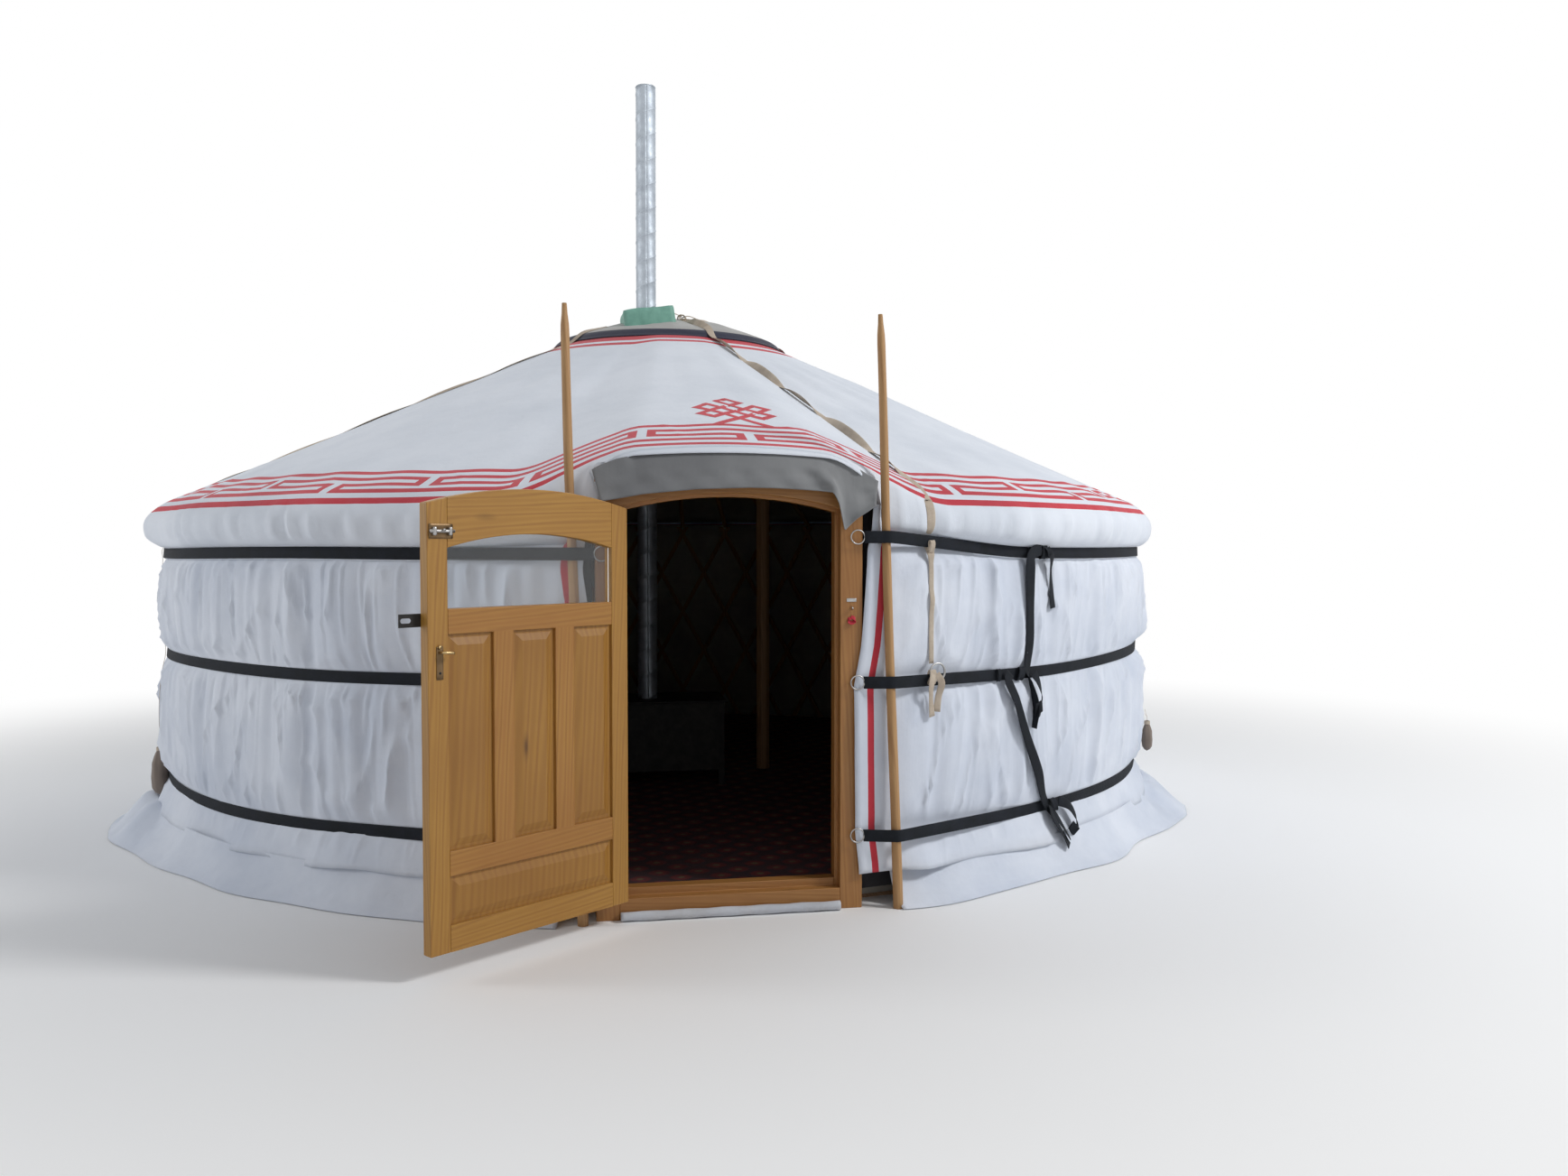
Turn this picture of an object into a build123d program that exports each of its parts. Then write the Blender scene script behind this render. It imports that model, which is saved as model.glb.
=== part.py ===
from build123d import *
import math
import os

# A Mongolian ger on level ground. Lengths are millimetres, the ground is Z = 0 and the door faces -Y.
# An azimuth is in degrees round the upright axis, 0 at the door and growing towards +X.

# Clearances
seat_gap = 0.3
swing_gap = 5.0
latch_side_gap = 8.0

# Felt and canvas covers
cover_radius = 2785.0
cover_thickness = 40.0
cover_top = 1625.0
cover_count = 5
cover_facets = 9
roof_cover_thickness = 38.0
crown_edge_radius = 620.0
crown_edge_height = 2690.0
roof_break_radius = 2740.0
roof_break_height = 1718.0
eave_radius = 2865.0
eave_height = 1575.0
eave_hem_radius = 2806.0
eave_hem_height = 1470.0
eave_slack = 1.8
eave_steps = 3

# Raised part of the roof over the door
door_lift = 150.0
raised_edge_height = 1800.0
raised_edge_radius = 2850.0
raised_sag = 6.0
raised_half_angle = 7.5
raised_fade_angle = 7.5
upstand_height = 50.0
upstand_half_width = 630.0

# Floor
deck_height = 60.0
rug_radius = 2640.0
rug_thickness = 10.0
floor_sides = 48

# Door frame
frame_half_width = 535.0
frame_front = 2810.0
frame_depth = 110.0
frame_top = 1776.0
jamb_top = 1600.0
rebate_half_width = 443.0
rebate_depth = 50.0
stop_width = 13.0
stop_height = 30.0

# Door leaf
leaf_thickness = 45.0
leaf_bottom = 90.0
leaf_stile_height = 1525.0
leaf_arch_rise = 58.0
stile_width = 78.0
bottom_rail_height = 92.0
lower_panel_height = 167.0
lower_rail_height = 86.0
upper_panel_height = 738.0
middle_rail_height = 86.0
window_side_height = 205.0
window_arch_rise = 49.0
muntin_width = 85.0
panel_thickness = 22.0
panel_field_rise = 7.0
panel_bevel = 26.0
glass_thickness = 6.0
door_open_angle = 142.0

# Door hinges and fittings
pin_stand_off = 12.0
knuckle_radius = 7.0
knuckle_sides = 10
pin_radius = 4.0
knuckle_height = 50.0
hinge_leaf_width = 28.0
hinge_leaf_thickness = 3.0
hinge_inset = 160.0
handle_height = 900.0
handle_length = 112.0
handle_stand_off = 34.0
handle_thickness = 11.0
bolt_height = 1340.0
bolt_length = 92.0
bolt_plate_height = 50.0
bolt_plate_thickness = 3.0
bolt_bar_radius = 6.5
hasp_height = 1036.0
hasp_width = 48.0
hasp_reach = 80.0
hasp_base_length = 62.0
hasp_thickness = 5.0
staple_wire_radius = 3.0
staple_half_height = 11.0
staple_reach = 24.0

# Lattice wall
column_angle = 7.5
lattice_sections = 5
lattice_thickness = 22.0
lattice_bar_width = 32.0
lattice_row_height = 328.0
lattice_rows = 5
lattice_tip_height = 58.0

# Roof poles and crown wheel
pole_radius = 18.0
pole_sides = 6
pole_end_radius = 2752.0
crown_sides = 24
crown_outer_radius = 640.0
crown_ring_width = 95.0
crown_ring_height = 66.0
crown_ring_top = 2637.5
hub_radius = 150.0
hub_width = 48.0
hub_sides = 16
crown_rib_count = 8
crown_rib_width = 34.0
crown_rib_depth = 40.0
rib_cover_gap = 16.0
rib_foot_inset = 8.0
rib_foot_height = 12.0
post_sides = 8
post_radius = 40.0
post_capital_width = 300.0
post_capital_height = 130.0

# Crown cover
crown_cover_radius = 665.0
crown_cover_rise = 165.0
crown_rim_depth = 24.0
crown_cover_thickness = 16.0
crown_cover_levels = 3
crown_cover_curve = 1.3

# Stove, chimney and its box
stove_x = -20.0
stove_y = -300.0
stove_length = 600.0
stove_depth = 420.0
stove_height = 400.0
stove_leg_height = 90.0
stove_leg_width = 36.0
stove_top_overhang = 18.0
stove_top_thickness = 12.0
pipe_x = -157.0
pipe_y = -330.0
pipe_radius = 60.0
pipe_wall = 2.0
pipe_top = 4163.0
box_width = 300.0
box_height = 175.0
box_wall = 6.0
box_top = 2858.0
box_tilt = 8.0
box_pipe_gap = 14.0

# Bands, straps and rings
band_width = 50.0
band_thickness = 3.0
band_heights = (1441.0, 925.0, 290.0)
band_first_corner = 2
ring_x = 511.0
ring_radius = 31.0
ring_wire_radius = 3.5
ring_sides = 10
strap_width = 42.0
strap_thickness = 3.0
strap_facets = (18.75, 108.75, 198.75, 288.75)
strap_end_height = 930.0
strap_hem_clearance = 1.0

# Poles in front of the door frame
door_pole_radius = 20.0
door_pole_sides = 12
door_pole_taper = 4.0
door_pole_top = 2405.0
right_pole_foot_x = 676.0
right_pole_top_x = 607.0
left_pole_foot_x = -585.0
left_pole_top_x = -645.0
door_pole_foot_lean = 30.0

# Hood over the door and the canvas on the ground
hood_thickness = 14.0
hood_side_drop = 160.0
hood_middle_drop = 80.0
hood_half_width = 520.0
skirt_height = 125.0
skirt_reach = 205.0
skirt_thickness = 7.0
skirt_fold_radius = 2865.0
skirt_fold_height = 48.0
skirt_facets = 44
roll_radius = 19.0

cover_inner_radius = cover_radius - cover_thickness
eave_inner_radius = (cover_radius + eave_slack) / math.cos(math.radians(column_angle / 2))
frame_back = frame_front - frame_depth
stop_face = frame_front - rebate_depth
opening_half_width = rebate_half_width - stop_width
side_cut = frame_half_width + seat_gap
cover_start = math.degrees(math.asin(side_cut / cover_radius)) - 1
cover_facet = (360 - 2 * cover_start) / cover_count / cover_facets
lattice_outer = cover_inner_radius * math.cos(math.radians(cover_facet / 2)) - seat_gap
leaf_width = 2 * rebate_half_width - swing_gap - latch_side_gap
hinge_x = -rebate_half_width
hinge_y = -(frame_front + pin_stand_off)


def at_azimuth(radius, azimuth):
    """Plan position at a radius and an azimuth."""
    turn = math.radians(azimuth)
    return (radius * math.sin(turn), -radius * math.cos(turn))


def radial_plane(azimuth):
    """Upright plane through the axis whose X runs outwards at the azimuth and whose Y runs up."""
    out_x, out_y = at_azimuth(1, azimuth)
    return Plane(origin=(0, 0, 0), x_dir=(out_x, out_y, 0), z_dir=(out_y, -out_x, 0))


def lift_share(azimuth):
    """How far the roof is raised at an azimuth: 1 over the door and 0 past the fade."""
    away = abs((azimuth + 180) % 360 - 180)
    past = (away - raised_half_angle) / raised_fade_angle
    past = min(max(past, 0), 1)
    return 1 - past


def blend(low, high, share):
    return low + (high - low) * share


def roof_top_height(radius, azimuth):
    """Height of the top face of the roof cover on its straight slope."""
    break_height = roof_break_height + door_lift * lift_share(azimuth)
    drop = (crown_edge_height - break_height) / (roof_break_radius - crown_edge_radius)
    return crown_edge_height - drop * (radius - crown_edge_radius)


def slope_factor(azimuth):
    """Upright thickness of a layer on the slope, for each unit of its true thickness."""
    break_height = roof_break_height + door_lift * lift_share(azimuth)
    drop = (crown_edge_height - break_height) / (roof_break_radius - crown_edge_radius)
    return math.sqrt(1 + drop * drop)


def plain_outer_points():
    """Outer line of the roof cover away from the door, with a shoulder that leaves the slope smoothly."""
    drop = (crown_edge_height - roof_break_height) / (roof_break_radius - crown_edge_radius)
    reach = eave_radius - roof_break_radius
    fall = roof_break_height - eave_height
    first_sine = drop * reach / (fall - drop * reach)
    first_turn = math.asin(first_sine)
    across = reach / (1 - first_sine)
    down = fall / math.cos(first_turn)
    points = [(crown_edge_radius, crown_edge_height)]
    for step in range(eave_steps + 1):
        turn = blend(first_turn, math.pi / 2, step / eave_steps)
        points.append((eave_radius - across * (1 - math.sin(turn)), eave_height + down * math.cos(turn)))
    points.append((blend(eave_radius, eave_hem_radius, 0.4), blend(eave_height, eave_hem_height, 0.6)))
    points.append((eave_hem_radius, eave_hem_height))
    return points


def raised_outer_points():
    """Outer line of the roof cover over the door, where the slope sags to a short turned-down edge."""
    points = [(crown_edge_radius, crown_edge_height)]
    for step in range(eave_steps + 1):
        share = step / eave_steps
        radius = blend(roof_break_radius, eave_radius, share)
        points.append((radius, roof_top_height(radius, 0) - raised_sag * share * share))
    lip_height = points[-1][1]
    points.append((eave_radius, blend(lip_height, raised_edge_height, 0.6)))
    points.append((raised_edge_radius, raised_edge_height))
    return points


def roof_outer_points(azimuth):
    """Outer line of the roof cover from the crown edge down to the hem, at an azimuth."""
    share = lift_share(azimuth)
    pairs = zip(plain_outer_points(), raised_outer_points())
    return [(blend(low[0], high[0], share), blend(low[1], high[1], share)) for low, high in pairs]


def roof_section(azimuth):
    """Closed outline of the roof cover in the radial plane."""
    share = lift_share(azimuth)
    outer = roof_outer_points(azimuth)
    under = roof_cover_thickness * slope_factor(azimuth)
    inner_radius = blend(eave_inner_radius, raised_edge_radius - roof_cover_thickness, share)
    inner_top = roof_top_height(inner_radius, azimuth) - under
    inner = [
        (inner_radius, outer[-1][1]),
        (inner_radius, max(inner_top, outer[-1][1] + 1)),
        (crown_edge_radius, crown_edge_height - under),
    ]
    return outer + inner


def facet_solid(section, facet_angle):
    """One flat facet of a ring, mitred on both sides and centred over the door, from its corner outline."""
    half_turn = math.radians(facet_angle / 2)
    far = 2 * cover_radius
    with BuildPart() as facet:
        with BuildSketch(radial_plane(0)):
            with BuildLine():
                Polyline(*[(radius * math.cos(half_turn), height) for radius, height in section], close=True)
            make_face()
        extrude(amount=far * math.sin(half_turn), both=True)
        with BuildSketch(Plane.XY):
            with BuildLine():
                far_corners = [at_azimuth(far, -facet_angle / 2), at_azimuth(far, facet_angle / 2)]
                Polyline((0, 0), *far_corners, close=True)
            make_face()
        extrude(amount=2 * crown_edge_height, mode=Mode.INTERSECT)
    return facet.part


def crease_solid(first_section, first_azimuth, second_section, second_azimuth):
    """Solid between two outlines at two azimuths, with one crease across each strip between them."""
    first = [Vector(*at_azimuth(radius, first_azimuth), height) for radius, height in first_section]
    second = [Vector(*at_azimuth(radius, second_azimuth), height) for radius, height in second_section]
    triangles = []
    for index in range(-1, len(first) - 1):
        if first_section[index + 1][0] > first_section[index][0]:
            triangles.append((first[index], first[index + 1], second[index]))
            triangles.append((second[index], first[index + 1], second[index + 1]))
        else:
            triangles.append((first[index], first[index + 1], second[index + 1]))
            triangles.append((second[index], first[index], second[index + 1]))
    outlines = [first, second] + triangles
    return Solid(Shell([Face(Wire.make_polygon(outline, close=True)) for outline in outlines]))


def pole_height(radius, azimuth):
    """Height of a roof pole's centre line under the cover."""
    below = roof_cover_thickness + pole_radius + seat_gap
    return roof_top_height(radius, azimuth) - below * slope_factor(azimuth)


os.makedirs("parts", exist_ok=True)

# Floor
with BuildPart() as floor_deck:
    with BuildSketch(Plane.XY):
        RegularPolygon(lattice_outer, floor_sides)
        with Locations((0, -frame_back + seat_gap)):
            Rectangle(2 * side_cut, 2 * frame_depth, align=(Align.CENTER, Align.MAX), mode=Mode.SUBTRACT)
    extrude(amount=deck_height)
floor_deck.part.label = "floor_deck"
export_step(floor_deck.part, "parts/floor_deck.step")

with BuildPart() as floor_rug:
    with BuildSketch(Plane.XY.offset(deck_height)):
        RegularPolygon(rug_radius, floor_sides)
    extrude(amount=rug_thickness)
floor_rug.part.label = "floor_rug"
export_step(floor_rug.part, "parts/floor_rug.step")

floor_top = deck_height + rug_thickness


def jamb_outline(side):
    """Plan outline of a door jamb with its rebate, on the side of +X or -X."""
    points = [
        (rebate_half_width, -frame_front),
        (frame_half_width, -frame_front),
        (frame_half_width, -frame_back),
        (opening_half_width, -frame_back),
        (opening_half_width, -stop_face),
        (rebate_half_width, -stop_face),
    ]
    return [(side * x, y) for x, y in points]


for side, name in ((-1, "door_jamb_left"), (1, "door_jamb_right")):
    with BuildPart() as door_jamb:
        with BuildSketch(Plane.XY):
            with BuildLine():
                Polyline(*jamb_outline(side), close=True)
            make_face()
        extrude(amount=jamb_top)
    door_jamb.part.label = name
    export_step(door_jamb.part, f"parts/{name}.step")

sill_top = leaf_bottom - swing_gap
with BuildPart() as door_sill:
    with BuildSketch(Plane.XY):
        with Locations((0, -frame_front)):
            Rectangle(2 * rebate_half_width, rebate_depth, align=(Align.CENTER, Align.MIN))
    extrude(amount=sill_top)
    with BuildSketch(Plane.XY):
        with Locations((0, -frame_back)):
            Rectangle(2 * opening_half_width, frame_depth - rebate_depth, align=(Align.CENTER, Align.MAX))
    extrude(amount=sill_top + stop_height)
door_sill.part.label = "door_sill"
export_step(door_sill.part, "parts/door_sill.step")

leaf_top = leaf_bottom + leaf_stile_height
rebate_arch_side = leaf_top + latch_side_gap
stop_arch_side = rebate_arch_side - stop_width
front_plane = Plane(origin=(0, -frame_back, 0), x_dir=(1, 0, 0), z_dir=(0, -1, 0))
with BuildPart() as door_head:
    with BuildSketch(front_plane):
        with Locations((0, jamb_top)):
            Rectangle(2 * frame_half_width, frame_top - jamb_top, align=(Align.CENTER, Align.MIN))
        with BuildLine():
            arch_line = ThreePointArc(
                (-opening_half_width, stop_arch_side),
                (0, stop_arch_side + leaf_arch_rise),
                (opening_half_width, stop_arch_side),
            )
            Polyline(arch_line @ 1, (opening_half_width, 0), (-opening_half_width, 0), arch_line @ 0)
        make_face(mode=Mode.SUBTRACT)
    extrude(amount=frame_depth)
    with BuildSketch(front_plane.offset(frame_depth)):
        with BuildLine():
            arch_line = ThreePointArc(
                (-rebate_half_width, rebate_arch_side),
                (0, rebate_arch_side + leaf_arch_rise),
                (rebate_half_width, rebate_arch_side),
            )
            Polyline(arch_line @ 1, (rebate_half_width, 0), (-rebate_half_width, 0), arch_line @ 0)
        make_face()
    extrude(amount=-rebate_depth, mode=Mode.SUBTRACT)
door_head.part.label = "door_head"
export_step(door_head.part, "parts/door_head.step")

# Door leaf, drawn in a plane whose X runs from the hinge pin to the free edge and whose Z faces out
leaf_turn = math.radians(door_open_angle)
leaf_plane = Plane(
    origin=(hinge_x, hinge_y, leaf_bottom),
    x_dir=(math.cos(leaf_turn), -math.sin(leaf_turn), 0),
    z_dir=(-math.sin(leaf_turn), -math.cos(leaf_turn), 0),
)
leaf_outer = leaf_plane.offset(-pin_stand_off)
leaf_inner = leaf_outer.offset(-leaf_thickness)
leaf_middle = leaf_outer.offset(-leaf_thickness / 2)
leaf_start = swing_gap
leaf_end = leaf_start + leaf_width
inside_start = leaf_start + stile_width
inside_end = leaf_end - stile_width
inside_width = inside_end - inside_start
leaf_centre = (leaf_start + leaf_end) / 2
lower_rail_bottom = bottom_rail_height + lower_panel_height
lower_rail_top = lower_rail_bottom + lower_rail_height
middle_rail_bottom = lower_rail_top + upper_panel_height
middle_rail_top = middle_rail_bottom + middle_rail_height
window_side_top = middle_rail_top + window_side_height
low_corner = (Align.MIN, Align.MIN)

for first, name in ((leaf_start, "door_stile_hinge"), (inside_end, "door_stile_latch")):
    with BuildPart() as door_stile:
        with BuildSketch(leaf_inner):
            with BuildLine():
                arch_line = ThreePointArc(
                    (leaf_start, leaf_stile_height),
                    (leaf_centre, leaf_stile_height + leaf_arch_rise),
                    (leaf_end, leaf_stile_height),
                )
                Polyline(arch_line @ 1, (leaf_end, 0), (leaf_start, 0), arch_line @ 0)
            make_face()
            with Locations((first, 0)):
                Rectangle(stile_width, 2 * leaf_stile_height, align=low_corner, mode=Mode.INTERSECT)
        extrude(amount=leaf_thickness)
    door_stile.part.label = name
    export_step(door_stile.part, f"parts/{name}.step")

with BuildPart() as door_top_rail:
    with BuildSketch(leaf_inner):
        with BuildLine():
            arch_line = ThreePointArc(
                (leaf_start, leaf_stile_height),
                (leaf_centre, leaf_stile_height + leaf_arch_rise),
                (leaf_end, leaf_stile_height),
            )
            Polyline(arch_line @ 1, (leaf_end, 0), (leaf_start, 0), arch_line @ 0)
        make_face()
        with Locations((inside_start, window_side_top)):
            Rectangle(inside_width, leaf_stile_height, align=low_corner, mode=Mode.INTERSECT)
        with BuildLine():
            window_line = ThreePointArc(
                (inside_start, window_side_top),
                (leaf_centre, window_side_top + window_arch_rise),
                (inside_end, window_side_top),
            )
            Line(window_line @ 1, window_line @ 0)
        make_face(mode=Mode.SUBTRACT)
    extrude(amount=leaf_thickness)
door_top_rail.part.label = "door_top_rail"
export_step(door_top_rail.part, "parts/door_top_rail.step")

with BuildPart() as door_bottom_rail:
    with BuildSketch(leaf_inner):
        with Locations((inside_start, 0)):
            Rectangle(inside_width, bottom_rail_height, align=low_corner)
    extrude(amount=leaf_thickness)
door_bottom_rail.part.label = "door_bottom_rail"
export_step(door_bottom_rail.part, "parts/door_bottom_rail.step")

panel_count = 3
panel_width = (inside_width - (panel_count - 1) * muntin_width) / panel_count
with BuildPart() as door_middle_rails:
    with BuildSketch(leaf_inner):
        with Locations((inside_start, lower_rail_bottom)):
            Rectangle(inside_width, lower_rail_height, align=low_corner)
        with Locations((inside_start, middle_rail_bottom)):
            Rectangle(inside_width, middle_rail_height, align=low_corner)
        for index in range(1, panel_count):
            muntin_start = inside_start + index * (panel_width + muntin_width) - muntin_width
            with Locations((muntin_start, lower_rail_bottom)):
                Rectangle(muntin_width, middle_rail_top - lower_rail_bottom, align=low_corner)
    extrude(amount=leaf_thickness)
door_middle_rails.part.label = "door_middle_rails"
export_step(door_middle_rails.part, "parts/door_middle_rails.step")

# Raised panels: centre, width and height of each in the leaf plane
panel_frames = [(leaf_centre, bottom_rail_height + lower_panel_height / 2, inside_width, lower_panel_height)]
for index in range(panel_count):
    panel_centre = inside_start + index * (panel_width + muntin_width) + panel_width / 2
    panel_frames.append((panel_centre, lower_rail_top + upper_panel_height / 2, panel_width, upper_panel_height))



def panel_profile(span):
    """Half of a raised panel's outline across one span: rebated edge, bevel and field."""
    edge = (span - panel_bevel) / 2
    field = edge - panel_bevel
    half = panel_thickness / 2
    crest = half + panel_field_rise
    side = [(span / 2, -half), (span / 2, half), (edge, half), (field, crest)]
    other = [(-x, y) for x, y in reversed(side[1:])]
    under = [(-span / 2, -half), (-edge, -half), (-field, -crest), (field, -crest), (edge, -half)]
    return side + other + under


def raised_panel(width, height):
    """Panel with mitred bevels on both faces: the profile across it cut by the profile up it."""
    with BuildPart() as panel:
        for profile_plane, span, length, profile_mode in (
            (Plane.XZ, width, height, Mode.ADD),
            (Plane.YZ, height, width, Mode.INTERSECT),
        ):
            with BuildSketch(profile_plane):
                with BuildLine():
                    Polyline(*panel_profile(span), close=True)
                make_face()
            extrude(amount=length / 2, both=True, mode=profile_mode)
    return panel.part


with BuildPart() as door_panels:
    for centre_x, centre_y, width, height in panel_frames:
        with Locations(leaf_middle.location * Location((centre_x, centre_y, 0))):
            add(raised_panel(width, height))
door_panels.part.label = "door_panels"
export_step(door_panels.part, "parts/door_panels.step")

with BuildPart() as door_glass:
    with BuildSketch(leaf_middle.offset(-glass_thickness / 2)):
        with BuildLine():
            glass_line = ThreePointArc(
                (inside_start, window_side_top - seat_gap),
                (leaf_centre, window_side_top + window_arch_rise - seat_gap),
                (inside_end, window_side_top - seat_gap),
            )
            Polyline(
                glass_line @ 1,
                (inside_end, middle_rail_top),
                (inside_start, middle_rail_top),
                glass_line @ 0,
            )
        make_face()
    extrude(amount=glass_thickness)
door_glass.part.label = "door_glass"
export_step(door_glass.part, "parts/door_glass.step")

# Lift-off hinges: the frame carries the pin and the lower knuckle, the leaf the upper knuckle
hinge_levels = (hinge_inset, leaf_stile_height - hinge_inset)
arm_width = knuckle_radius - swing_gap / 2
frame_hinge_plane = Plane(origin=(hinge_x, hinge_y, leaf_bottom), x_dir=(1, 0, 0), z_dir=(0, 0, 1))
with BuildPart() as frame_hinges:
    for level in hinge_levels:
        with BuildSketch(frame_hinge_plane.offset(level - knuckle_height)):
            RegularPolygon(knuckle_radius, knuckle_sides)
            with Locations((-swing_gap, 0)):
                Rectangle(arm_width, pin_stand_off, align=(Align.MAX, Align.MIN))
            with Locations((-swing_gap, pin_stand_off)):
                Rectangle(hinge_leaf_width, hinge_leaf_thickness, align=(Align.MAX, Align.MAX))
        extrude(amount=knuckle_height)
        with BuildSketch(frame_hinge_plane.offset(level)):
            Circle(pin_radius)
        extrude(amount=knuckle_height - seat_gap)
frame_hinges.part.label = "frame_hinges"
export_step(frame_hinges.part, "parts/frame_hinges.step")

leaf_hinge_plane = Plane(
    origin=(hinge_x, hinge_y, leaf_bottom),
    x_dir=(math.cos(leaf_turn), -math.sin(leaf_turn), 0),
    z_dir=(0, 0, 1),
)
with BuildPart() as door_hinges:
    for level in hinge_levels:
        with BuildSketch(leaf_hinge_plane.offset(level + seat_gap)):
            RegularPolygon(knuckle_radius, knuckle_sides)
            with Locations((swing_gap, 0)):
                Rectangle(arm_width, pin_stand_off, align=(Align.MIN, Align.MIN))
            with Locations((swing_gap, pin_stand_off)):
                Rectangle(hinge_leaf_width, hinge_leaf_thickness, align=(Align.MIN, Align.MAX))
            Circle(pin_radius + seat_gap, mode=Mode.SUBTRACT)
        extrude(amount=knuckle_height)
door_hinges.part.label = "door_hinges"
export_step(door_hinges.part, "parts/door_hinges.step")

# Pull handle and barrel bolt on the inner face, and the hasp on the outer face
fitting_x = leaf_end - stile_width / 2
with BuildPart() as door_handle:
    with BuildSketch(leaf_inner):
        with Locations((fitting_x, handle_height)):
            Rectangle(handle_thickness * 2, handle_length)
    extrude(amount=-handle_stand_off)
    with BuildSketch(leaf_inner):
        with Locations((fitting_x, handle_height)):
            Rectangle(handle_thickness * 4, handle_length - 2 * handle_thickness)
    extrude(amount=-(handle_stand_off - handle_thickness), mode=Mode.SUBTRACT)
door_handle.part.label = "door_handle"
export_step(door_handle.part, "parts/door_handle.step")

bolt_plane = Plane(
    origin=leaf_inner.offset(-bolt_plate_thickness - bolt_bar_radius).from_local_coords((0, 0, 0)),
    x_dir=leaf_plane.z_dir,
    z_dir=leaf_plane.x_dir,
)
bolt_start = leaf_end - bolt_length - latch_side_gap - swing_gap
with BuildPart() as door_bolt:
    with BuildSketch(leaf_inner):
        with Locations((bolt_start, bolt_height)):
            Rectangle(bolt_length, bolt_plate_height, align=(Align.MIN, Align.CENTER))
    extrude(amount=-bolt_plate_thickness)
    with BuildSketch(bolt_plane.offset(bolt_start)):
        with Locations((0, -bolt_height)):
            RegularPolygon(bolt_bar_radius, 8)
    extrude(amount=bolt_length)
door_bolt.part.label = "door_bolt"
export_step(door_bolt.part, "parts/door_bolt.step")

hasp_start = leaf_end - hasp_base_length
hasp_end = leaf_end + hasp_reach
staple_position = rebate_half_width - hinge_x + (frame_half_width - rebate_half_width) / 2
with BuildPart() as door_hasp:
    with BuildSketch(leaf_outer):
        with Locations((hasp_start, hasp_height)):
            Rectangle(hasp_base_length, hasp_width, align=(Align.MIN, Align.CENTER))
    extrude(amount=swing_gap)
    with BuildSketch(leaf_outer.offset(swing_gap)):
        with Locations((hasp_start, hasp_height)):
            Rectangle(hasp_end - hasp_start, hasp_width, align=(Align.MIN, Align.CENTER))
        with Locations((staple_position, hasp_height)):
            Rectangle(2 * (staple_wire_radius + swing_gap),
                      2 * (staple_half_height + staple_wire_radius + swing_gap), mode=Mode.SUBTRACT)
    extrude(amount=hasp_thickness)
door_hasp.part.label = "door_hasp"
export_step(door_hasp.part, "parts/door_hasp.step")

staple_x = hinge_x + staple_position
staple_z = leaf_bottom + hasp_height
with BuildPart() as latch_staple:
    with BuildLine():
        Polyline(
            (staple_x, -frame_front, staple_z - staple_half_height),
            (staple_x, -frame_front - staple_reach, staple_z - staple_half_height),
            (staple_x, -frame_front - staple_reach, staple_z + staple_half_height),
            (staple_x, -frame_front, staple_z + staple_half_height),
        )
    staple_foot = Plane(origin=(staple_x, -frame_front, staple_z - staple_half_height), z_dir=(0, -1, 0))
    with BuildSketch(staple_foot):
        RegularPolygon(staple_wire_radius, 8)
    sweep(transition=Transition.RIGHT)
latch_staple.part.label = "latch_staple"
export_step(latch_staple.part, "parts/latch_staple.step")

# Lattice wall in sections of flat columns. The bars cross at the column edges and at the column centres.
door_columns = 3
lattice_start = door_columns * column_angle / 2
lattice_columns = round(360 / column_angle) - door_columns
section_columns = lattice_columns // lattice_sections
lattice_inner = lattice_outer - lattice_thickness
half_column = lattice_outer * math.sin(math.radians(column_angle / 2))
bar_slope = math.atan2(lattice_row_height, half_column)
hole_half_width = half_column - lattice_bar_width / 2 / math.sin(bar_slope)
hole_half_height = lattice_row_height - lattice_bar_width / 2 / math.cos(bar_slope)
fork_depth = lattice_row_height - hole_half_height
fork_rest = pole_radius * math.hypot(slope_factor(180), math.tan(bar_slope)) + seat_gap
lattice_top_crossing = pole_height(lattice_outer, 180) - fork_rest - fork_depth
lattice_top = lattice_top_crossing + lattice_tip_height


def lattice_section(start_azimuth):
    """One folding section of the lattice wall, from its first column edge."""
    edge_azimuths = [start_azimuth + index * column_angle for index in range(section_columns + 1)]
    with BuildPart() as section:
        with BuildSketch(Plane.XY.offset(deck_height)):
            with BuildLine():
                outer_points = [at_azimuth(lattice_outer, azimuth) for azimuth in edge_azimuths]
                inner_points = [at_azimuth(lattice_inner, azimuth) for azimuth in edge_azimuths]
                Polyline(*outer_points, *reversed(inner_points), close=True)
            make_face()
        extrude(amount=lattice_top - deck_height)
        for index in range(section_columns):
            azimuth = start_azimuth + (index + 0.5) * column_angle
            flat_radius = lattice_outer * math.cos(math.radians(column_angle / 2))
            out_x, out_y = at_azimuth(1, azimuth)
            column_plane = Plane(
                origin=(flat_radius * out_x, flat_radius * out_y, lattice_top_crossing),
                x_dir=(-out_y, out_x, 0),
                z_dir=(out_x, out_y, 0),
            )
            with BuildSketch(column_plane):
                for row in range(-lattice_rows, 2):
                    level = row * lattice_row_height
                    if row % 2 == 0:
                        for side in (-1, 1):
                            edge_x = side * half_column
                            with BuildLine():
                                Polyline(
                                    (edge_x, level - hole_half_height),
                                    (edge_x - side * hole_half_width, level),
                                    (edge_x, level + hole_half_height),
                                    close=True,
                                )
                            make_face()
                    else:
                        with BuildLine():
                            Polyline(
                                (0, level - hole_half_height),
                                (hole_half_width, level),
                                (0, level + hole_half_height),
                                (-hole_half_width, level),
                                close=True,
                            )
                        make_face()
            extrude(amount=2 * lattice_thickness, both=True, mode=Mode.SUBTRACT)
    return section


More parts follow.
